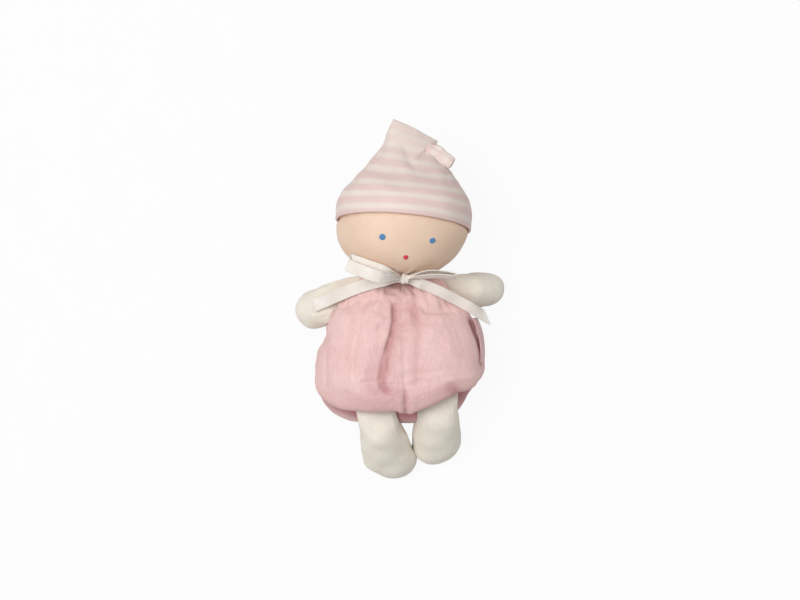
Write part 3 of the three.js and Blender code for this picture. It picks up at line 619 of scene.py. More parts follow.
def striped(tree, place, along, base, stripes):
    """Stripes of a second pair of colours over a base, washed out in places and fading up the cap."""
    wander = times(tree, math_node(tree, "SUBTRACT", noise_of(tree, place, scale=30, detail=2), 0.5), 0.0016)
    level = plus(tree, plus(tree, along, wander), (STRIPE / 4 - FIRST_STRIPE) * MM)
    wave = half_wave(tree, sine(tree, level, wavelength=STRIPE * MM))
    # The stripes grow fainter further up the cap
    fade_up_cap = ramp(tree, times(tree, along, 1 / (STRIPE_FADE * MM)), (0.55, 1.0), (0.75, 0.4))
    washed = noise_of(tree, place, scale=70, rough=0.7)
    band = times(tree, ramp(tree, wave, (0.1, 0.0), (0.7, 1.0)), fade_up_cap)
    band = times(tree, band, ramp(tree, washed, (0.25, 0.62), (0.6, 1.0)))
    return mixed(tree, band, base, two_tone(tree, washed, *stripes))


def jersey(name, dark, light, size, stripes=None):
    """A smooth knit with small loops. Stripes are a second pair of colours that take turns with the first."""
    made, tree, shader, place = material(name)
    patches = noise_of(tree, place, scale=48, detail=4, rough=0.6)
    base = two_tone(tree, patches, dark, light)
    across, along = own(tree, "cloth_across"), own(tree, "cloth_along")
    if stripes:
        base = striped(tree, place, along, base, stripes)
    loops = knit_height(tree, across, along, size)
    base = shaded(tree, 0.35, base, loops, (0.0, 0.82), (0.7, 1.0))
    fuzz = noise_of(tree, place, scale=1500, detail=2, rough=0.7)
    normal = bumped(tree, loops, distance=0.0003, strength=0.3)
    normal = bumped(tree, fuzz, distance=0.0003, strength=0.2, before=normal)
    put(tree, shader, Base_Color=base, Normal=normal, Roughness=ramp(tree, patches, (0.2, 0.78), (0.8, 0.95)),
        Sheen_Weight=0.12, Sheen_Roughness=0.5, Specular_IOR_Level=0.2)
    return made


def woven(name, dark, light, gloss, size, sheen):
    """A woven tape: threads across and along, brighter on the raised ones."""
    made, tree, shader, place = material(name)
    warp = sine(tree, own(tree, "cloth_across"), wavelength=size)
    weft = sine(tree, own(tree, "cloth_along"), wavelength=size * 1.6)
    threads = times(tree, warp, weft)
    patches = noise_of(tree, stretched(tree, place, (90, 90, 90)), scale=1, rough=0.6)
    base = two_tone(tree, patches, dark, light)
    base = shaded(tree, 0.3, base, threads, (0.0, 0.86), (0.8, 1.0))
    put(tree, shader, Base_Color=base, Normal=bumped(tree, threads, distance=0.00015, strength=0.3),
        Roughness=ramp(tree, patches, (0.2, gloss), (0.8, gloss + 0.14)),
        Sheen_Weight=sheen, Sheen_Roughness=0.3, Specular_IOR_Level=0.4)
    return made


def thread(name, dark, light):
    """Embroidery floss: two-coloured twist along each strand with a soft shine."""
    made, tree, shader, place = material(name)
    across, along = own(tree, "cloth_across"), own(tree, "cloth_along")
    twist = plus(tree, times(tree, along, 9000), times(tree, across, 6))
    plies = half_wave(tree, math_node(tree, "SINE", twist))
    fuzz = noise_of(tree, place, scale=3000, detail=2)
    base = ramp(tree, plies, (0.1, colour(dark)), (0.8, colour(light)))
    base = shaded(tree, 0.3, base, fuzz, (0.3, 0.75), (0.7, 1.0))
    put(tree, shader, Base_Color=base, Normal=bumped(tree, plies, distance=0.0001, strength=0.5),
        Roughness=ramp(tree, fuzz, (0.3, 0.38), (0.7, 0.55)), Sheen_Weight=0.1, Specular_IOR_Level=0.4)
    return made


def moulded(name, dark, light, rough):
    """Moulded plastic: faint flow marks and a fine grain."""
    made, tree, shader, place = material(name)
    flow = noise_of(tree, stretched(tree, place, (60, 60, 240)), scale=1, detail=4, rough=0.6)
    grain = noise_of(tree, place, scale=2500, detail=2)
    put(tree, shader, Base_Color=two_tone(tree, flow, dark, light),
        Normal=bumped(tree, grain, distance=0.0001, strength=0.15),
        Roughness=ramp(tree, flow, (0.2, rough), (0.8, rough + 0.15)))
    return made


def fibre(name):
    """Polyester fill: tangled strands with darker hollows."""
    made, tree, shader, place = material(name)
    strands = node(tree, "ShaderNodeTexNoise", Vector=place, Scale=700, Detail=4, Distortion=2.5).outputs[0]
    put(tree, shader, Base_Color=ramp(tree, strands, (0.3, colour("d9d6d0")), (0.6, colour("f8f7f4"))),
        Normal=bumped(tree, strands, distance=0.0008, strength=0.6),
        Roughness=ramp(tree, strands, (0.2, 0.85), (0.8, 1.0)), Sheen_Weight=0.2)
    return made


# The deep colours are painted shade. Only the body's mesh carries the attribute for it, so the cream one is
# never seen
PINK = velour("pink_velour", "e8c4c1", "f0d0cc", shade="dcb4b2", nap=(1500, 110, 1500), deep="b4747a")
CREAM = velour("cream_velour", "ebe5d8", "f3ede2", shade="e2dacb", nap=(1300, 420, 1300), deep="d8cebc")
FACE = jersey("skin_jersey", "e6c9b0", "f0d4bd", size=0.0009)
STRIPED = jersey("striped_jersey", "e4d6cd", "ebded5", size=0.0011, stripes=("dfc2bd", "e5cbc6"))
SATIN = woven("satin_ribbon", "e9e0d6", "f5efe8", gloss=0.38, size=0.0004, sheen=0.1)
TAPE = woven("pink_tape", "dcb0b2", "e9c8c8", gloss=0.5, size=0.0007, sheen=0.15)
BLUE = thread("blue_thread", "2c6aa6", "6aa5d4")
RED = thread("red_thread", "c01c34", "e8485c")
FIBRE = fibre("fibre_fill")
BOX = moulded("box_plastic", "dfe5ea", "eef2f5", rough=0.3)
BEAD = moulded("bead_plastic", "cfd5da", "e2e6e9", rough=0.28)


# Body
def body_surface(level, turn):
    """The plain body: level runs from the bottom to the neck, turn goes round from the doll's left."""
    upper = level > 0
    shape = 2 / np.where(upper, UPPER_SQUARENESS, LOWER_SQUARENESS)
    across = np.cos(level) ** shape
    y = power(np.sin(level), shape) * np.where(upper, BODY_RISE, BODY_FALL)
    half = BODY_WIDTH / 2
    x = power(np.cos(turn), 2 / RING_SQUARENESS) * across * half
    x = x - np.where(x > 0, LEFT_TUCK * x / half * smooth(-y, 0, BODY_FALL / 2), 0)
    deep = np.where(np.sin(turn) > 0, BODY_FRONT, BODY_BACK)
    z = SEAM_HEIGHT + power(np.sin(turn), 2 / RING_SQUARENESS) * across * deep
    y = y + SHOULDER_RISE * bell(np.abs(x), SHOULDER_X, SHOULDER_SPREAD) * smooth(y, 34, 52)
    tuck = np.where(x < 0, RIGHT_TUCK, TAG_TUCK * smooth(z, SEAM_HEIGHT, SEAM_HEIGHT + 10))
    x = x * (1 - tuck * bell(y, TUCK_Y, TUCK_SPREAD))
    return np.stack([x, y, z], -1)


def above_seam(points):
    """How far a point is in front of the side seam, which climbs towards the front below the hips."""
    y, z = points[..., 1], points[..., 2]
    seam = SEAM_HEIGHT + SEAM_CLIMB * np.maximum(0, SEAM_BEND_Y - y)
    return (z - seam) / math.hypot(1, SEAM_CLIMB)


def front_window(points, low, high, start, end):
    """1 on the body's front from one level to another, easing off at both and towards the side seam."""
    y = points[..., 1]
    return within(y, low, low + start, high - end, high) * smooth(above_seam(points), 1, 7)


def fold(points, places, width, depth, low, high, lip=0.0):
    """The depth of a valley along a line on the front, with a raised lip on the doll's right of it."""
    off = points[..., 0] - line_at(places, points[..., 1])
    valley = depth * bell(off, 0, width) - lip * bell(off, -1.7 * width, 1.3 * width)
    return valley * front_window(points, low, high, start=12, end=10)


Pleat = namedtuple("Pleat", "step off window")


def pleat(points, places, side, drop, soft, spread, low, high):
    """A step down along a line, to the doll's left where the side is 1, that rises again over its spread."""
    off = side * (points[..., 0] - line_at(places, points[..., 1]))
    window = front_window(points, low, high, start=9, end=9)
    step = drop * smooth(off, -soft, soft) * np.exp(-np.maximum(off, 0) / spread)
    return Pleat(step * window, off, window)


def hem(points):
    """The front's lower edge drawn up, and rolled out over the seam that the legs come out of."""
    x, y, z = np.moveaxis(points, -1, 0)
    front = above_seam(points)
    low = smooth(-y, 2, 16)
    lift = line_at(HEM_LIFT, x) * smooth(front, -12, -1)
    moved = points.copy()
    moved[..., 1] = np.where(y < 0, y * (1 - lift), y)
    moved[..., 2] += HEM_BILLOW * lift * bell(front, 12, 12) * smooth(-y, 0, 10)
    away = unit(np.stack([x / BODY_WIDTH ** 2 * 4, np.minimum(y, 0) / BODY_FALL ** 2, np.zeros_like(x)], -1))
    roll = (HEM_ROLL + HEM_ROLL_LIFTED * lift) * bell(front, 8, 5) * low
    tuck = (HEM_TUCK + HEM_TUCK_LOW * low) * np.where(front > 0, bell(front, 0, 2.2), bell(front, 0, 3.4))
    moved = moved + away * (roll - tuck)[..., None]
    return ledge(moved, x, z, low * (1 - smooth(front, -2, 0)))


def ledge(moved, x, z, behind):
    """The back's lower edge, which shows below the hem: fuller near the floor, and rounded at its end."""
    moved[..., 1] += LEDGE_SLOPE * behind * smooth(z, LEDGE_HEIGHT, LEDGE_HEIGHT + 26)
    fuller = LEDGE_FULLNESS * behind * bell(z, LEDGE_HEIGHT + 2, 11)
    moved[..., 1] *= 1 + fuller
    moved[..., 0] *= 1 + 0.3 * fuller * smooth(-x, -20, 20)
    past = np.maximum(LEDGE_END - moved[..., 1], 0)
    moved[..., 1] += past - LEDGE_ROUND * (1 - np.exp(-past / LEDGE_ROUND))
    return moved


def gathers(points, turn):
    """Small puckers round the neck that run down into the cloth."""
    rng = np.random.default_rng(11)
    y = points[..., 1]
    total = np.zeros_like(y)
    for count in GATHER_COUNTS:
        total += np.sin(turn * count + rng.uniform(0, 6)) * rng.uniform(0.5, 1)
    return total * GATHER_DEPTH * smooth(y, 30, 54)


def body_turns(steps):
    """Angles round the body: the front takes more of the steps than the back."""
    front = BODY_AROUND_FRONT / (BODY_AROUND_FRONT + BODY_AROUND_BACK)
    return np.where(steps < front, steps / front, 1 + (steps - front) / (1 - front)) * math.pi


def body_form(rows, steps):
    """The body before it is stuffed, for shares from the bottom to the neck and shares round it."""
    level = (rows - 0.5)[:, None] * math.pi * LEVEL_SHARE
    turn = body_turns(steps)[None, :]
    points = body_surface(level + 0 * turn, turn + 0 * level)
    deep = pleat(points, DEEP_FOLD, side=1, drop=2.2, soft=3.2, spread=9, low=-24, high=46)
    soft = pleat(points, SOFT_FOLD, side=-1, drop=1.0, soft=3, spread=9, low=-20, high=46)
    side = fold(points, SIDE_FOLD, width=4.5, depth=2.2, low=-14, high=50)
    slope = 1.8 * bell(deep.off, -3, 5.5) * deep.window * smooth(-points[..., 1], -22, 2)
    points[..., 2] -= deep.step + soft.step + side + slope
    return points


def body_pins(grid):
    """Where the cloth is sewn: the side seam, the neck, the centre seam and the folds."""
    front = above_seam(grid)
    pins = np.maximum(bell(front, 0, 3), smooth(grid[..., 1], 44, 54))
    pins = np.maximum(pins, smooth(-front, 14, 24) * 0.8)
    for places in (DEEP_FOLD, SOFT_FOLD, CENTRE_SEAM):
        off = grid[..., 0] - line_at(places, grid[..., 1])
        pins = np.maximum(pins, 0.75 * bell(off, 0, 2.5) * (front > 3))
    return pins


def body_dents(grid):
    """How far the front is drawn in along its side fold and centre seam, and at a few small hollows."""
    x, y, _ = np.moveaxis(grid, -1, 0)
    lines = fold(grid, SIDE_FOLD, width=3.2, depth=1.4, low=-10, high=52, lip=0.4)
    lines += fold(grid, CENTRE_SEAM, width=0.75, depth=0.8, low=-40, high=60)
    hem_notch = 2.6 * bell(x, 3.7, 1.7) * (1 - smooth(y, -22, -10))
    right_hollow = 1.5 * bell(np.hypot(x + 34.9, y + 17.5), 0, 5)
    left_hollow = 1.8 * bell(np.hypot((x - 32) * 0.8, y + 20), 0, 4)
    right_crease = 0.8 * bell(x, -45.2, 1.3) * within(y, -14, -6, 10, 18)
    facing = smooth(above_seam(grid), 2, 8)
    return lines + (hem_notch + right_hollow + left_hollow + right_crease) * facing


def painted_shade_on_body(grid, deep, soft, tag):
    """Painted shade on the body, from 0 to 1: in its folds and hollows, below the knot, towards the bottom,
    under the hem and behind the tag.
    """
    x, y, z = np.moveaxis(grid, -1, 0)
    front = above_seam(grid)
    facing = smooth(front, 2, 8)
    folds = (0.6 * bell(deep.off, 1.6, 2.4) + 0.3 * bell(deep.off, 5, 7)) * deep.window
    folds += 0.3 * bell(deep.off, -5, 5) * deep.window * smooth(-y, -20, 4)
    folds += 0.3 * bell(soft.off, 1.5, 3) * soft.window
    under_knot = 0.3 * bell(np.hypot(x - 9, (y - 36) * 0.6), 0, 5)
    left_hollow = 0.6 * bell(np.hypot(x - 32, y + 22), 0, 5)
    folds += (under_knot + left_hollow + 0.3 * smooth(-y, 8, 24)) * facing
    painted_shade_below_hem = 0.9 * bell(front, -5, 7) * smooth(-y, 8, 16)
    painted_shade_behind_tag = 1.6 * tag * bell(z, 42, 2.2)
    return np.clip(0.7 * folds + painted_shade_below_hem + painted_shade_behind_tag, 0, 1)


def body_points():
    rows = np.linspace(0, 1, BODY_LEVELS)
    around = BODY_AROUND_FRONT + BODY_AROUND_BACK
    steps = np.arange(around) / around
    grid = body_form(rows, steps)
    push = stuffing_push(body_form, rows, steps, body_pins, (46, 82), pressure=5, limit=2.6, slack=0.035)
    grid = grid + push * (1 - 0.65 * smooth(-grid[..., 1], 4, 16))[..., None]
    faces = grid_faces(grid)
    deep = pleat(grid, DEEP_FOLD, side=1, drop=1.7, soft=1.7, spread=6, low=-24, high=46)
    soft = pleat(grid, SOFT_FOLD, side=-1, drop=0.9, soft=1.6, spread=7, low=-16, high=47)
    lip = bell(deep.off, -1.2, 1.8) * deep.window
    x, y, z = np.moveaxis(grid, -1, 0)
    tag = smooth(x, 36, 42) * within(y, 1, 6, 28, 34)
    push = 0.4 * lip - deep.step - soft.step - body_dents(grid) - 1.3 * tag * bell(z, 40.5, 3.2)
    push += gathers(grid, body_turns(steps)[None, :])
    push += 0.24 * waves(grid * [1.3, 0.6, 1], 17, 3)
    push += 0.05 * waves(grid * [1.5, 0.6, 1], 6, 4)
    # Painted shade, taken from the grid before it is pushed
    shade = painted_shade_on_body(grid, deep, soft, tag)
    grid = pushed(grid, faces, push)
    grid[..., 0] += lip * 0.9 * smooth(y, 0, 20)
    grid = on_floor(out_of_head(hem(grid), 0.9))
    return with_ends(grid), faces, np.append(shade.ravel(), [0, 0])


# The body's painted shade goes with its mesh as an attribute for the velour's colour
body_at, body_faces, body_painted_shade = body_points()
body = mesh_piece("body_cover", body_at, body_faces, PINK, cloth_depth=body_painted_shade)
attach(body, "torso")
dress(body, "pink_velour", "body_front_panel", "body_back_panel", "body_stuffing_front", "body_stuffing_back")
body_tree = tree_of(body_at, body_faces)


# Head
def in_world(local):
    return local @ HEAD_MATRIX.T + HEAD_MIDDLE


def head_form(rows, steps):
    """Points about the head's middle, for shares from the crown to the neck and shares round it."""
    down = (0.015 + rows * 0.965)[:, None] * math.pi
    turn = steps[None, :] * 2 * math.pi
    shape = 2 / np.where(np.cos(down) < 0, JOWL_SQUARENESS, 2)
    ring = np.sin(down) ** shape
    y = power(np.cos(down), shape) * HEAD_HALF[1] + 0 * turn
    x = ring * np.sin(turn) * HEAD_HALF[0] - JAW_SHIFT * smooth(-y, 0, 20)
    return np.stack([x, y, ring * np.cos(turn) * HEAD_HALF[2]], -1)


def head_pins(grid):
    """The head's cloth is sewn at the neck and held under the cap."""
    return np.maximum(smooth(-grid[..., 1], 29, 34), smooth(grid[..., 1], 4, 10))


def head_piece():
    rows, steps = np.linspace(0, 1, HEAD_ROWS), np.arange(HEAD_AROUND) / HEAD_AROUND
    turn = steps[None, :] * 2 * math.pi
    grid = head_form(rows, steps)
    grid = grid + stuffing_push(head_form, rows, steps, head_pins, (30, 48), pressure=3, limit=0.8)
    faces = grid_faces(grid)
    neck = smooth(-grid[..., 1], 26, 33)
    push = 0.18 * waves(grid, 26, 21) + 0.35 * neck * (np.sin(turn * 22) + 0.6 * np.sin(turn * 35 + 1))
    above_brim = grid[..., 1] + BRIM_DROP - BRIM_TILT * grid[..., 2] / HEAD_HALF[2]
    push -= 2.0 * bell(above_brim, -0.4, 1.7)
    grid = pushed(grid, faces, push)
    along = np.cumsum(np.linalg.norm(np.diff(grid, axis=0, prepend=grid[:1]), axis=2), 0)
    points = on_floor(in_world(with_ends(grid)), CAP)
    piece = mesh_piece("head_cover", points, faces, FACE, **cloth(grid, turn * HEAD_HALF[0], along))
    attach(piece, "head")
    dress(piece, "skin_jersey", "head_skin", "head_stuffing")
    return points, faces


head_at, head_faces = head_piece()
head_tree = tree_of(head_at, head_faces)


# Face: satin stitch, strands side by side over a dot
def strand(start, end, lift, radius):
    """A thread that rises out of the cloth, bows over and goes back in, and the shares along it."""
    share = np.linspace(0, 1, STRAND_STEPS)[:, None]
    line = start + (end - start) * share
    out = unit(line - HEAD_MIDDLE)
    line = line + out * (lift * np.sin(math.pi * share) - radius * 0.4)
    side = unit(np.cross(end - start, out.mean(0)))
    turn = full_turn(STRAND_AROUND)[:, None, None]
    ring = (side * np.cos(turn) + out[None] * np.sin(turn)).transpose(1, 0, 2)
    thick = radius * (0.55 + 0.45 * np.sin(math.pi * share) ** 0.5)
    return line[:, None, :] + ring * thick[:, None], share.ravel()


def on_head(place):
    return np.array(head_tree.find_nearest(Vector(place))[0])


def stitched_dot(name, node_name, material_used, slot, slant, count):
    low, high = box_of(node_name)
    radius = (high[0] - low[0] + high[1] - low[1]) / 4
    middle = on_head((low + high) / 2)
    out = unit(np.array(head_tree.find_nearest(Vector(middle))[1]))
    right = unit(np.cross([0, 1, 0], out))
    turn = math.radians(slant)
    lay = right * math.cos(turn) + np.cross(out, right) * math.sin(turn)
    beside = np.cross(out, lay)
    points, faces, across, along = [], [], [], []
    for i in range(count):
        off = (i + 0.5) / count * 2 - 1
        half = radius * math.sqrt(max(0.05, 1 - off * off)) * 1.02
        start, end = (on_head(middle + beside * off * radius + lay * half * side) for side in (-1, 1))
        lift = 0.28 + 0.3 * math.sqrt(1 - off * off)
        grid, share = strand(start, end, lift, radius / count * 1.25)
        faces.append(tube_faces(STRAND_STEPS, STRAND_AROUND) + i * (STRAND_STEPS * STRAND_AROUND + 2))
        points.append(with_ends(grid))
        across.append(np.append(np.tile(np.arange(STRAND_AROUND) / STRAND_AROUND, STRAND_STEPS), [0, 0]))
        along.append(np.append(np.repeat(share * 2 * half, STRAND_AROUND), [0, 2 * half]) * MM)
    piece = mesh_piece(name, np.vstack(points), np.vstack(faces), material_used,
                       cloth_across=np.hstack(across), cloth_along=np.hstack(along))
    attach(piece, "head")
    dress(piece, slot, node_name)


stitched_dot("left_eye_stitches", "left_eye", BLUE, "blue_thread", slant=80, count=8)
stitched_dot("right_eye_stitches", "right_eye", BLUE, "blue_thread", slant=100, count=8)
stitched_dot("mouth_stitches", "mouth", RED, "red_thread", slant=3, count=7)


# Cap: rings from the rolled brim to the flat fold at the top
def cap_ring(left, right, deep, tilt, flat, grow=0.0, bow=0.0):
    turn = full_turn(CAP_AROUND)
    middle, half = (left + right) / 2, (right - left) / 2
    long = np.linalg.norm(half)
    half = half * (long + grow) / long
    shape = 2 / (2 + flat)
    cosine, upward = power(np.cos(turn), shape), power(np.sin(turn), shape)
    x = middle[0] + half[0] * cosine
    y = middle[1] + half[1] * cosine + BRIM_TILT * tilt * upward + FOLD_BOW * bow * (1 - cosine ** 2)
    return np.stack([x, y, (deep + grow) * upward], -1)


def cap_grid():
    """The cap's rings, and the number of the first one past its rolled brim."""
    share = np.linspace(0, 1, CAP_ROWS)
    left, right = spline(CAP_LEFT, share), spline(CAP_RIGHT, share)
    deep, tilt = spline(CAP_DEPTH, share), spline(CAP_TILT, share)
    flat, bow = CAP_SQUARENESS * share, smooth(share, 0.7, 1)
    rings = [cap_ring(left[i], right[i], deep[i], tilt[i], flat[i], bow=bow[i]) for i in range(CAP_ROWS)]
    ridge = unit(np.array([left[-1][1] - right[-1][1], right[-1][0] - left[-1][0]]))
    for step in np.linspace(0, math.pi / 2, 6)[1:]:
        over = ridge * FOLD_THICK * math.sin(step)
        thin = deep[-1] * max(math.cos(step), 0.06)
        rings.append(cap_ring(left[-1] + over, right[-1] + over, thin, 0, CAP_SQUARENESS, bow=1))
    brim = [cap_ring(left[4], right[4], deep[4], tilt[4], 0, grow=-CAP)]
    for step in np.linspace(0, math.pi, 7)[::-1][:-1]:
        ring = cap_ring(left[0], right[0], deep[0], tilt[0], 0, grow=-CAP * 0.5 * (1 - math.cos(step)))
        ring[:, 1] -= CAP * 0.5 * math.sin(step)
        brim.append(ring)
    return np.array(brim + rings), len(brim)


def cap_creases(grid, rise):
    """How far the cap's cloth stands out in soft waves, and is drawn in where the knotted end comes out."""
    x, y, z = np.moveaxis(grid, -1, 0)
    outside = smooth(rise, 0, 4)[:, None]
    high, facing = smooth(y, 24, 44), smooth(z, -4, 6)
    push = 0.32 * waves(grid * [0.8, 1.3, 1], 20, 31) * outside
    push += 0.22 * waves(grid * [0.6, 1.6, 1], 9, 32) * outside * smooth(y, 12, 26)
    right, up = x - KNOT_CREASE[0], y - KNOT_CREASE[1]
    off = up * KNOT_CREASE_WAY[0] - right * KNOT_CREASE_WAY[1]
    along = right * KNOT_CREASE_WAY[0] + up * KNOT_CREASE_WAY[1]
    push -= 2.2 * bell(off, 0, 0.9) * bell(along, 0, 6) * facing * high
    push += 0.8 * bell(off, 2.4, 1.8) * bell(along, 0, 7) * facing * high
    push -= 0.9 * bell(x * 0.9 + (y - 33) * 0.45 - 2, 0, 2.6) * bell(y, 36, 9) * facing
    push += 0.7 * bell(y - 30 + x * 0.25, 0, 5) * facing * bell(x, -6, 16)
    return push


def cap_piece():
    grid, first = cap_grid()
    front = grid[:, CAP_AROUND // 4]
    climb = lengths_along(front)
    rise = climb - climb[first]
    faces = grid_faces(grid)
    grid = pushed(grid, faces, cap_creases(grid, rise))
    height = front[:, 1] + 2.2 * smooth(front[:, 1], 14, 26) + 1.8 * smooth(front[:, 1], 38, 52)
    across = full_turn(CAP_AROUND) * CAP_RADIUS
    cover = np.append(np.repeat(smooth(rise, 1, 5), CAP_AROUND), [0, 1])
    points = on_floor(kept_clear(in_world(with_ends(grid)), head_tree, 0.9, cover))
    piece = mesh_piece("cap_cloth", points, faces, STRIPED, **cloth(grid, across, height[:, None]))
    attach(piece, "head")
    dress(piece, "striped_jersey", "cap")
    return tree_of(points, faces)


cap_tree = cap_piece()


# The knotted end of the cap: a rolled tube with a spiral end
def knot_end_piece():
    low, high = box_of("cap_knot_tail")
    tip = np.array([high[0] - 2.6, low[1] + 3.6, (low[2] + high[2]) / 2])
    start = pivot_of("knot_tail_flop") + KNOT_END_START
    along = unit(tip - start)
    across = unit(np.cross(UP, along))
    over = np.cross(along, across)
    length = np.linalg.norm(tip - start) + 1.8
    share = np.linspace(0, 1, KNOT_END_ROWS)
    turn = full_turn(KNOT_END_AROUND)
    width, thick = spline(KNOT_END_WIDTH, share), spline(KNOT_END_THICK, share)
    rings = []
    for i in range(KNOT_END_ROWS):
        roll = 1 + 0.05 * np.sin(2 * turn + 5 * share[i]) - 0.16 * bell(np.sin((turn - 0.9) / 2), 0, 0.12)
        sideways, upwards = np.cos(turn) * width[i] * roll, np.sin(turn) * thick[i] * roll
        rings.append(start + along * share[i] * length + across * sideways[:, None] + over * upwards[:, None])
    last = rings[-1]
    middle = last.mean(0)
    rings += [middle + (last - middle) * inset + along * back for inset, back in KNOT_END_TIP]
    grid = np.array(rings)
    faces = grid_faces(grid)
    grid = pushed(grid, faces, 0.25 * waves(grid, 6, 41))
    lengthwise = np.linspace(0, length, len(grid))[:, None] + 31 + 2.5 * np.sin(turn)[None, :]
    piece = mesh_piece("cap_knot_end", with_ends(grid), faces, STRIPED, **cloth(grid, turn * 4.5, lengthwise))
    dress(piece, "striped_jersey", "cap_knot_tail")
    bend_between(piece)


knot_end_piece()


# Limbs
def limb_form(limb):
    """A function that gives a grid of points, for shares along the limb and shares round it."""
    length = np.linalg.norm(limb["reach"])
    along = limb["reach"] / length
    level = unit(along * [1, 1, 0])
    across = unit(np.cross(UP, along))
    over = np.cross(along, across)

    def ring(at, turn):
        upper = np.sin(turn) > 0
        fill = math.sin(math.pi / 2 * min(max(at / limb["wedge"], 0), 1))
        deep = limb["edge"] + (limb["depth"] - limb["edge"]) * np.where(upper, fill, fill ** 3)
        half = limb["root_half"] + (limb["end_half"] - limb["root_half"]) * float(smooth(at, 0, length))
        half = half * math.sqrt(1 - 0.75 * (max(-at, 0) / limb["inside"]) ** 4)
        past = min(max((at - length) / limb["end"], 0), 0.995)
        taper = math.sqrt(1 - past * past)
        height = np.sin(turn) * deep * taper * np.where(upper, limb["crown"], 1)
        middle = limb["root"] + (along if at > 0 else level) * at + across * limb["lean"] * past
        lift = over if at > 0 else UP
        return middle + across * (np.cos(turn) * half * taper)[:, None] + lift * height[:, None]

    def form(rows, steps):
        places = -limb["inside"] + rows * (length + limb["inside"] + limb["end"])
        return np.array([ring(at, steps * 2 * math.pi) for at in places])

    return form, along


def limb_pins(grid):
    """A limb's cloth is held in the body."""
    held = smooth(-np.linspace(0, 1, len(grid)), -0.3, -0.18)
    return np.repeat(held[:, None], grid.shape[1], 1)


def limb_piece(limb_name, limb):
    form, along = limb_form(limb)
    rows = np.linspace(0, 1, LIMB_ROWS)
    rows = rows + 0.06 * np.sin(math.pi * rows) * rows
    rows = rows / rows[-1]
    steps = np.arange(LIMB_AROUND) / LIMB_AROUND
    turn = steps[None, :] * 2 * math.pi
    grid = form(rows, steps)
    grid = grid + stuffing_push(form, rows, steps, limb_pins, (26, 32), pressure=4, limit=1.3)
    faces = grid_faces(grid)
    at = (grid - limb["root"]) @ along
    seam = bell(np.sin(turn), 0, 0.1) * smooth(at, 2, 8)
    rng = np.random.default_rng(limb["seed"])
    pucker = sum(np.sin(turn * n + rng.uniform(0, 6)) for n in (9, 14, 19))
    push = 0.3 * waves(grid, 15, limb["seed"]) - 0.35 * seam + limb["pucker"] * pucker * bell(at, 6, 6)
    points = with_ends(pushed(grid, faces, push))
    weights = np.append(within(at, 1, 7, 20, 26).ravel(), [0, 0])
    points = on_floor(kept_clear(points, body_tree, 0.25, weights, lowest=-0.25))
    piece = mesh_piece(limb_name + "_cover", points, faces, CREAM)
    dress(piece, "cream_velour", limb_name + "_skin", limb_name + "_stuffing")
    bend_between(piece)
    return tree_of(points, faces)


def limb_of(joint_name, kind, angle, length, **shape):
    """A limb's values: its root, and the way and length that it reaches to lie on the floor."""
    root = pivot_of(joint_name)
    reach = flat_way(angle)[0] * length + [0, 0, kind["depth"] - FLAT - root[2]]
    return {**kind, **shape, "root": root, "reach": reach}


LIMBS = {
    "left_arm": limb_of("left_shoulder", ARM, angle=7, length=19.8, root_half=11.4, end_half=10.6,
                        inside=15, seed=51),
    "right_arm": limb_of("right_shoulder", ARM, angle=197, length=15.2, root_half=12.8, end_half=12,
                         inside=21, seed=52),
    "left_leg": limb_of("left_hip", LEG, angle=-92, length=25.6, end_half=15.2, lean=-1.5, seed=53),
    "right_leg": limb_of("right_hip", LEG, angle=-75.5, length=26.8, end_half=15.6, lean=6.5, seed=54),
}
limb_trees = [limb_piece(limb_name, limb) for limb_name, limb in LIMBS.items()]


# Ribbon, which clears the head at its turns too
turned_heads = [tree_of(head_turned(head_at, degrees), head_faces) for degrees in (-45, -22, 22, 45)]
SURFACES = [body_tree, head_tree, cap_tree, *limb_trees, *turned_heads]
HIGH_ABOVE = 400


def height_under(x, y):
    highest = 0.0
    for tree in SURFACES:
        hit = tree.ray_cast(Vector((x, y, HIGH_ABOVE)), Vector((0, 0, -1)))[0]
        if hit is not None:
            highest = max(highest, hit[2])
    return highest


def draped(line, across, width, fall, climb, settle=0):
    """A ribbon's heights: it lies on what is under it, and falls and climbs no more steeply than said.

    Its settle is how many points of a dip it bridges either way."""
    reach = lengths_along(line[:, :2])
    under = []
    for i in range(len(line)):
        sides = [across[i] * width[i] / 2 * share for share in (-1, -0.5, 0, 0.5, 1)]
        rises = [height_under(*(line[i] + side)[:2]) - side[2] for side in sides]
        under.append(max(rises) + RIBBON_CLEARANCE)
    under = np.array(under)
    under[0] = max(line[0][2], 0)
    gap = reach[None, :] - reach[:, None]
    limit = np.where(gap > 0, -climb * gap, fall * gap)
    raised = (under[None, :] + limit).max(1)
    eased = [raised[max(i - settle, 0):i + settle + 1].max() for i in range(len(raised))]
    near, far = running_mean(raised, 2), running_mean(np.array(eased), max(settle, 2))
    return near + (far - near) * smooth(reach, 2, 10)


def opened(reach):
    """How far the ribbon has spread out from the knot, from 0 to 1."""
    return smooth(reach, 0, RIBBON_GATHER)


def spread_width(reach):
    return RIBBON_PINCH + (RIBBON_WIDTH - RIBBON_PINCH) * opened(reach)


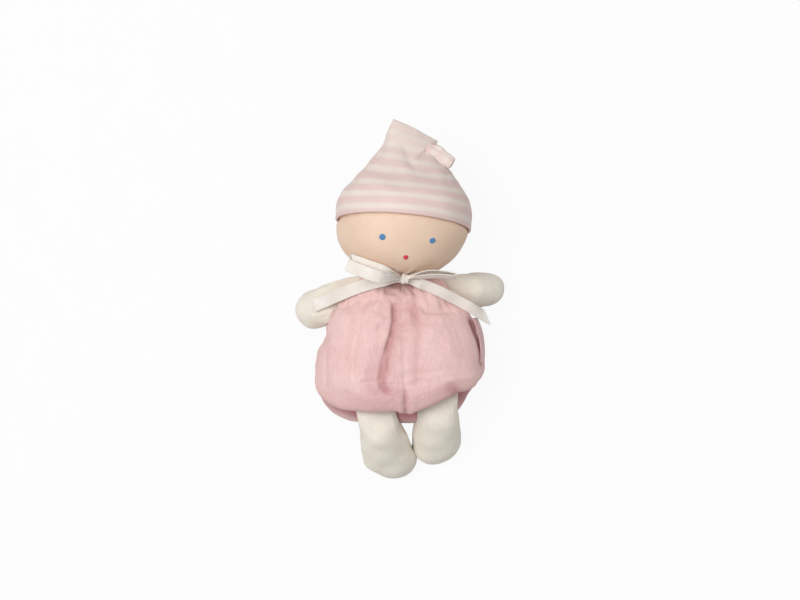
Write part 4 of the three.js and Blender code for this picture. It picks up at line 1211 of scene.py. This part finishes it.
def strip_points(line, across, width, pinch, curl=0.0):
    """A thin strip along a line: top and under side, thicker at its edges and folded where it is pinched."""
    along = unit(np.gradient(line, axis=0))
    across = unit(across)
    out = unit(np.cross(along, across))
    out = out * np.where(out[:, 2].mean() < 0, -1, 1)
    span = np.linspace(-1, 1, 15)
    thick = (RIBBON * (0.5 + 0.45 * smooth(np.abs(span), 0.8, 0.96)))[:, None]
    rows = []
    for i in range(len(line)):
        ripple = pinch[i] * (0.75 * np.cos(span * 3 * math.pi) + 0.3 * np.sin(span * 5))
        rise = ripple + curl * (span ** 2 - 0.4)
        centre = line[i] + across[i] * (span * width[i] / 2)[:, None] + out[i] * rise[:, None]
        rows.append(np.vstack([centre + out[i] * thick, (centre - out[i] * thick)[::-1]]))
    return np.array(rows), np.append(span, span[::-1])


def strip_piece(name, material_used, grid, span, wide, reach):
    lengths = cloth(grid, span * wide / 2, reach[:, None])
    return mesh_piece(name, with_ends(grid), grid_faces(grid), material_used, **lengths)


def ribbon_piece(name, line, across, width, pinch, node_name, curl=0.0):
    grid, span = strip_points(line, across, width, pinch, curl)
    piece = strip_piece(name, SATIN, grid, span, RIBBON_WIDTH, lengths_along(line))
    dress(piece, "satin_ribbon", node_name)
    return piece


def tail_piece(name, node_name, angle, length, slant, sag, roll):
    """A loose end: slant cuts its end askew, sag bows it sideways and roll turns it on its edge."""
    along, side = flat_way(angle)
    start = KNOT + along * (KNOT_SIZE[0] / 2 - 1.6) - [0, 1, 0.5]
    reach = np.linspace(0, length, TAIL_POINTS)
    bow = sag * np.sin(math.pi * (reach / length) ** 0.65)
    line = start + along * reach[:, None] + side * bow[:, None]
    skew = slant / RIBBON_WIDTH * np.clip((reach - length + TAIL_SLANT_REACH) / TAIL_SLANT_REACH, 0, 1)
    tilt = math.radians(roll) * smooth(reach, 2, 14) * (1 - 0.5 * smooth(reach, length * 0.7, length))
    level = unit(side + along * skew[:, None])
    across = level * np.cos(tilt)[:, None] + UP * np.sin(tilt)[:, None]
    width = spread_width(reach) * np.sqrt(1 + skew ** 2)
    line[:, 2] = draped(line, across, width, fall=0.85, climb=0.9, settle=6)
    line[:, 2] += 0.25 * np.sin(reach * 0.33 + angle) * smooth(reach, 6, 16)
    piece = ribbon_piece(name, line, across, width, 0.8 * (1 - opened(reach)), node_name, curl=-0.35)
    bend_between(piece)


tail_piece("right_ribbon_end", "right_ribbon_tail",
           angle=196, length=55.5, slant=0.5, sag=-3.6, roll=0)
tail_piece("left_ribbon_end", "left_ribbon_tail",
           angle=-24, length=54.6, slant=-8, sag=2.6, roll=32)


def loop_piece(name, node_name, angle, length, roll, opening, offset, arch, climb):
    """A loop: roll turns it on its edge; opening, offset and arch part, shift and bow its two layers."""
    along, level = flat_way(angle)
    tilt = math.radians(roll) * np.sign(along[0])
    across = level * math.cos(tilt) + UP * math.sin(tilt)
    apart = np.cross(along, across)
    apart = apart * np.sign(apart[2])
    start = KNOT + along * (KNOT_SIZE[0] / 2 - 1.2) + UP * 0.6
    reach = np.linspace(0, length, LOOP_POINTS)
    spread, wide = opened(reach), spread_width(reach)
    lower = start + along * reach[:, None] + level * (arch * np.sin(math.pi * reach / length))[:, None]
    footprint = wide * abs(math.cos(tilt)) + 0.5
    ground = draped(lower, np.tile(level, (LOOP_POINTS, 1)), footprint, fall=0.25, climb=climb)
    lower[:, 2] = ground + abs(math.sin(tilt)) * RIBBON_WIDTH / 2 * spread
    swell = 0.5 + opening * np.sin(math.pi * reach / length * 0.86 + 0.12) * spread
    upper = lower + apart * swell[:, None] - level * offset * spread[:, None]
    middle, half = (lower[-1] + upper[-1]) / 2, (upper[-1] - lower[-1]) / 2
    bend = []
    for step in np.linspace(-math.pi / 2, math.pi / 2, 11)[1:-1]:
        bend.append(middle + half * math.sin(step) + along * (0.9 * swell[-1]) * math.cos(step))
    line = np.vstack([lower, bend, upper[::-1]])
    width = np.hstack([wide, np.full(len(bend), wide[-1]), wide[::-1]])
    gather = 0.7 * np.hstack([1 - spread, np.zeros(len(bend)), 1 - spread[::-1]])
    piece = ribbon_piece(name, line, np.tile(across, (len(line), 1)), width, gather, node_name)
    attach(piece, "torso")


loop_piece("right_loop", "right_bow_loop",
           angle=161, length=31, roll=14, opening=3.8, offset=-3.2, arch=0, climb=1.7)
loop_piece("left_loop", "left_bow_loop",
           angle=4, length=28.5, roll=74, opening=1.7, offset=0.4, arch=2.6, climb=0.9)


def knot_piece(rows=44, around=56):
    """The knot: a rounded block with creases round it, drawn in at both ends."""
    down = np.linspace(0.03, math.pi - 0.03, rows)[:, None]
    turn = full_turn(around)[None, :]
    x = power(np.cos(down), KNOT_SHAPE) + 0 * turn
    y = power(np.sin(down), KNOT_SHAPE) * power(np.cos(turn), KNOT_SHAPE)
    z = power(np.sin(down), KNOT_SHAPE) * power(np.sin(turn), KNOT_SHAPE)
    grid = np.stack([x, y, z], -1) * KNOT_SIZE / 2
    radial = unit(grid * [0, 1, 1])
    x = grid[..., 0]
    creases = 0.35 * np.cos(x * 2.1 + 0.6 * np.sin(turn * 2)) + 0.2 * np.sin(x * 4 + turn)
    waist = 0.55 * (np.abs(x) / KNOT_SIZE[0] * 2) ** 3
    grid = grid + radial * (creases - waist)[..., None] * smooth(np.sin(down), 0.1, 0.5)[..., None]
    lean = np.array(Matrix.Rotation(math.radians(-12), 3, "Z"))
    grid = grid @ lean.T + KNOT
    lengths = cloth(grid, grid[..., 0], turn * 3)
    piece = mesh_piece("ribbon_knot", with_ends(grid), grid_faces(grid), SATIN, **lengths)
    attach(piece, "torso")
    dress(piece, "satin_ribbon", "bow_knot")


knot_piece()


def collar_piece(count=96):
    """The ribbon round the neck, between the chin and the shoulders."""
    low, high = box_of("neck_ribbon")
    middle = (low + high) / 2
    turn = full_turn(count)
    radius = (high[0] - low[0]) / 2 + 0.2 * np.sin(turn * 9)
    ring = middle + np.stack([np.cos(turn) * radius, 0.35 * np.sin(turn * 7 + 1), np.sin(turn) * radius], -1)
    out = unit((ring - middle) * [1, 0, 1]) * RIBBON / 2
    half = (high[1] - low[1]) / 2 * 0.85
    span = np.linspace(-1, 1, 9) * half
    rows = []
    for i in range(count):
        centre = ring[i] + np.outer(span, [0, 1, 0])
        rows.append(np.vstack([centre + out[i], (centre - out[i])[::-1]]))
    points, faces = np.vstack(rows), band_faces(count, 2 * len(span), True)
    piece = mesh_piece("collar_ribbon", points, outward(points, faces), SATIN,
                       cloth_across=np.tile(np.append(span, span[::-1]), count) * MM,
                       cloth_along=np.repeat(turn * 14, 2 * len(span)) * MM)
    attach(piece, "torso")
    dress(piece, "satin_ribbon", "neck_ribbon")


collar_piece()


# Side tag: a bare tape tacked down at both ends
def tag_piece():
    low, high = box_of("side_tag")
    share = np.linspace(0, 1, TAG_POINTS)
    y = high[1] + (low[1] - high[1]) * share
    line = np.stack([spline(TAG_SIDE, share), y, np.full(TAG_POINTS, TAG_HEIGHT)], -1)
    across = np.tile(TAG_LEAN, (TAG_POINTS, 1))
    grid, span = strip_points(line, across, np.full(TAG_POINTS, TAG_WIDTH), np.zeros(TAG_POINTS))
    piece = strip_piece("side_tape", TAPE, grid, span, TAG_WIDTH, share * TAG_LENGTH)
    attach(piece, "torso")
    dress(piece, "pink_tape", "side_tag")


tag_piece()

# What is inside keeps its CAD form
INSIDE = {"stuffing": FIBRE, "cup": BOX, "lid": BOX, "bead": BEAD}
for name, shown in frame["nodes"].items():
    for word, inside in INSIDE.items():
        if word in name:
            shown.data.materials.clear()
            shown.data.materials.append(inside)


# Stage
def mixed_shader(tree, share, first, second):
    made = node(tree, "ShaderNodeMixShader")
    for value, socket in zip((share, first, second), made.inputs):
        link(tree, value, socket)
    return made.outputs[0]


def white_where_seen(tree, strength, rest):
    """A shader that the camera sees partly as plain white, and the rest of the scene sees as it is."""
    path = node(tree, "ShaderNodeLightPath")
    seen = math_node(tree, "MAXIMUM", path.outputs["Is Camera Ray"], path.outputs["Is Glossy Ray"])
    seen = math_node(tree, "MAXIMUM", seen, path.outputs["Is Transmission Ray"])
    white = node(tree, "ShaderNodeEmission", Color=WHITE, Strength=1.0).outputs[0]
    return mixed_shader(tree, times(tree, seen, strength), rest, white)


def make_floor():
    made, tree, shader, place = material("floor")
    grain = noise_of(tree, place, scale=40)
    put(tree, shader, Base_Color=ramp(tree, grain, (0.3, 0.68), (0.7, 0.72)), Roughness=1.0,
        Specular_IOR_Level=0.0)
    out = white_where_seen(tree, FLOOR_WHITENESS, shader.outputs[0])
    link(tree, out, tree.nodes["Material Output"].inputs["Surface"])
    mesh = bpy.data.meshes.new("floor")
    signs = ((-1, -1), (1, -1), (1, 1), (-1, 1))
    mesh.from_pydata([(x * FLOOR_HALF, y * FLOOR_HALF, FLOOR_Z) for x, y in signs], [], [(0, 1, 2, 3)])
    mesh.materials.append(made)
    floor = placed("floor", mesh)


def make_world():
    world = bpy.data.worlds.new("studio")
    world.use_nodes = True
    tree = world.node_tree
    sky = tree.nodes["Background"]
    put(tree, sky, Color=WHITE, Strength=AMBIENT)
    seen = node(tree, "ShaderNodeLightPath").outputs["Is Camera Ray"]
    white = node(tree, "ShaderNodeBackground", Color=WHITE, Strength=1.0)
    both = mixed_shader(tree, seen, sky.outputs[0], white.outputs[0])
    link(tree, both, tree.nodes["World Output"].inputs["Surface"])
    bpy.context.scene.world = world


def make_lamp(name, place, size, watts):
    data = bpy.data.lights.new(name, "AREA")
    data.shape = "DISK"
    data.size = size
    data.energy = watts
    lamp = placed(name, data)
    lamp.location = place
    lamp.rotation_euler = (Vector(MIDDLE) - Vector(place)).to_track_quat("-Z", "Y").to_euler()


def make_camera():
    data = bpy.data.cameras.new("camera")
    data.sensor_width = 36
    data.lens = 120
    data.clip_start = 0.05
    data.clip_end = 20
    camera = placed("camera", data)
    camera.location = CAMERA_PLACE
    camera.rotation_euler = (0, 0, 0)
    bpy.context.scene.camera = camera


make_floor()
make_world()
make_lamp("key", (-0.68, 0.22, 1.45), size=0.9, watts=16)
make_lamp("fill", (0.8, 0.5, 1.3), size=0.9, watts=3.6)
make_camera()
bpy.context.scene.view_settings.view_transform = "Standard"
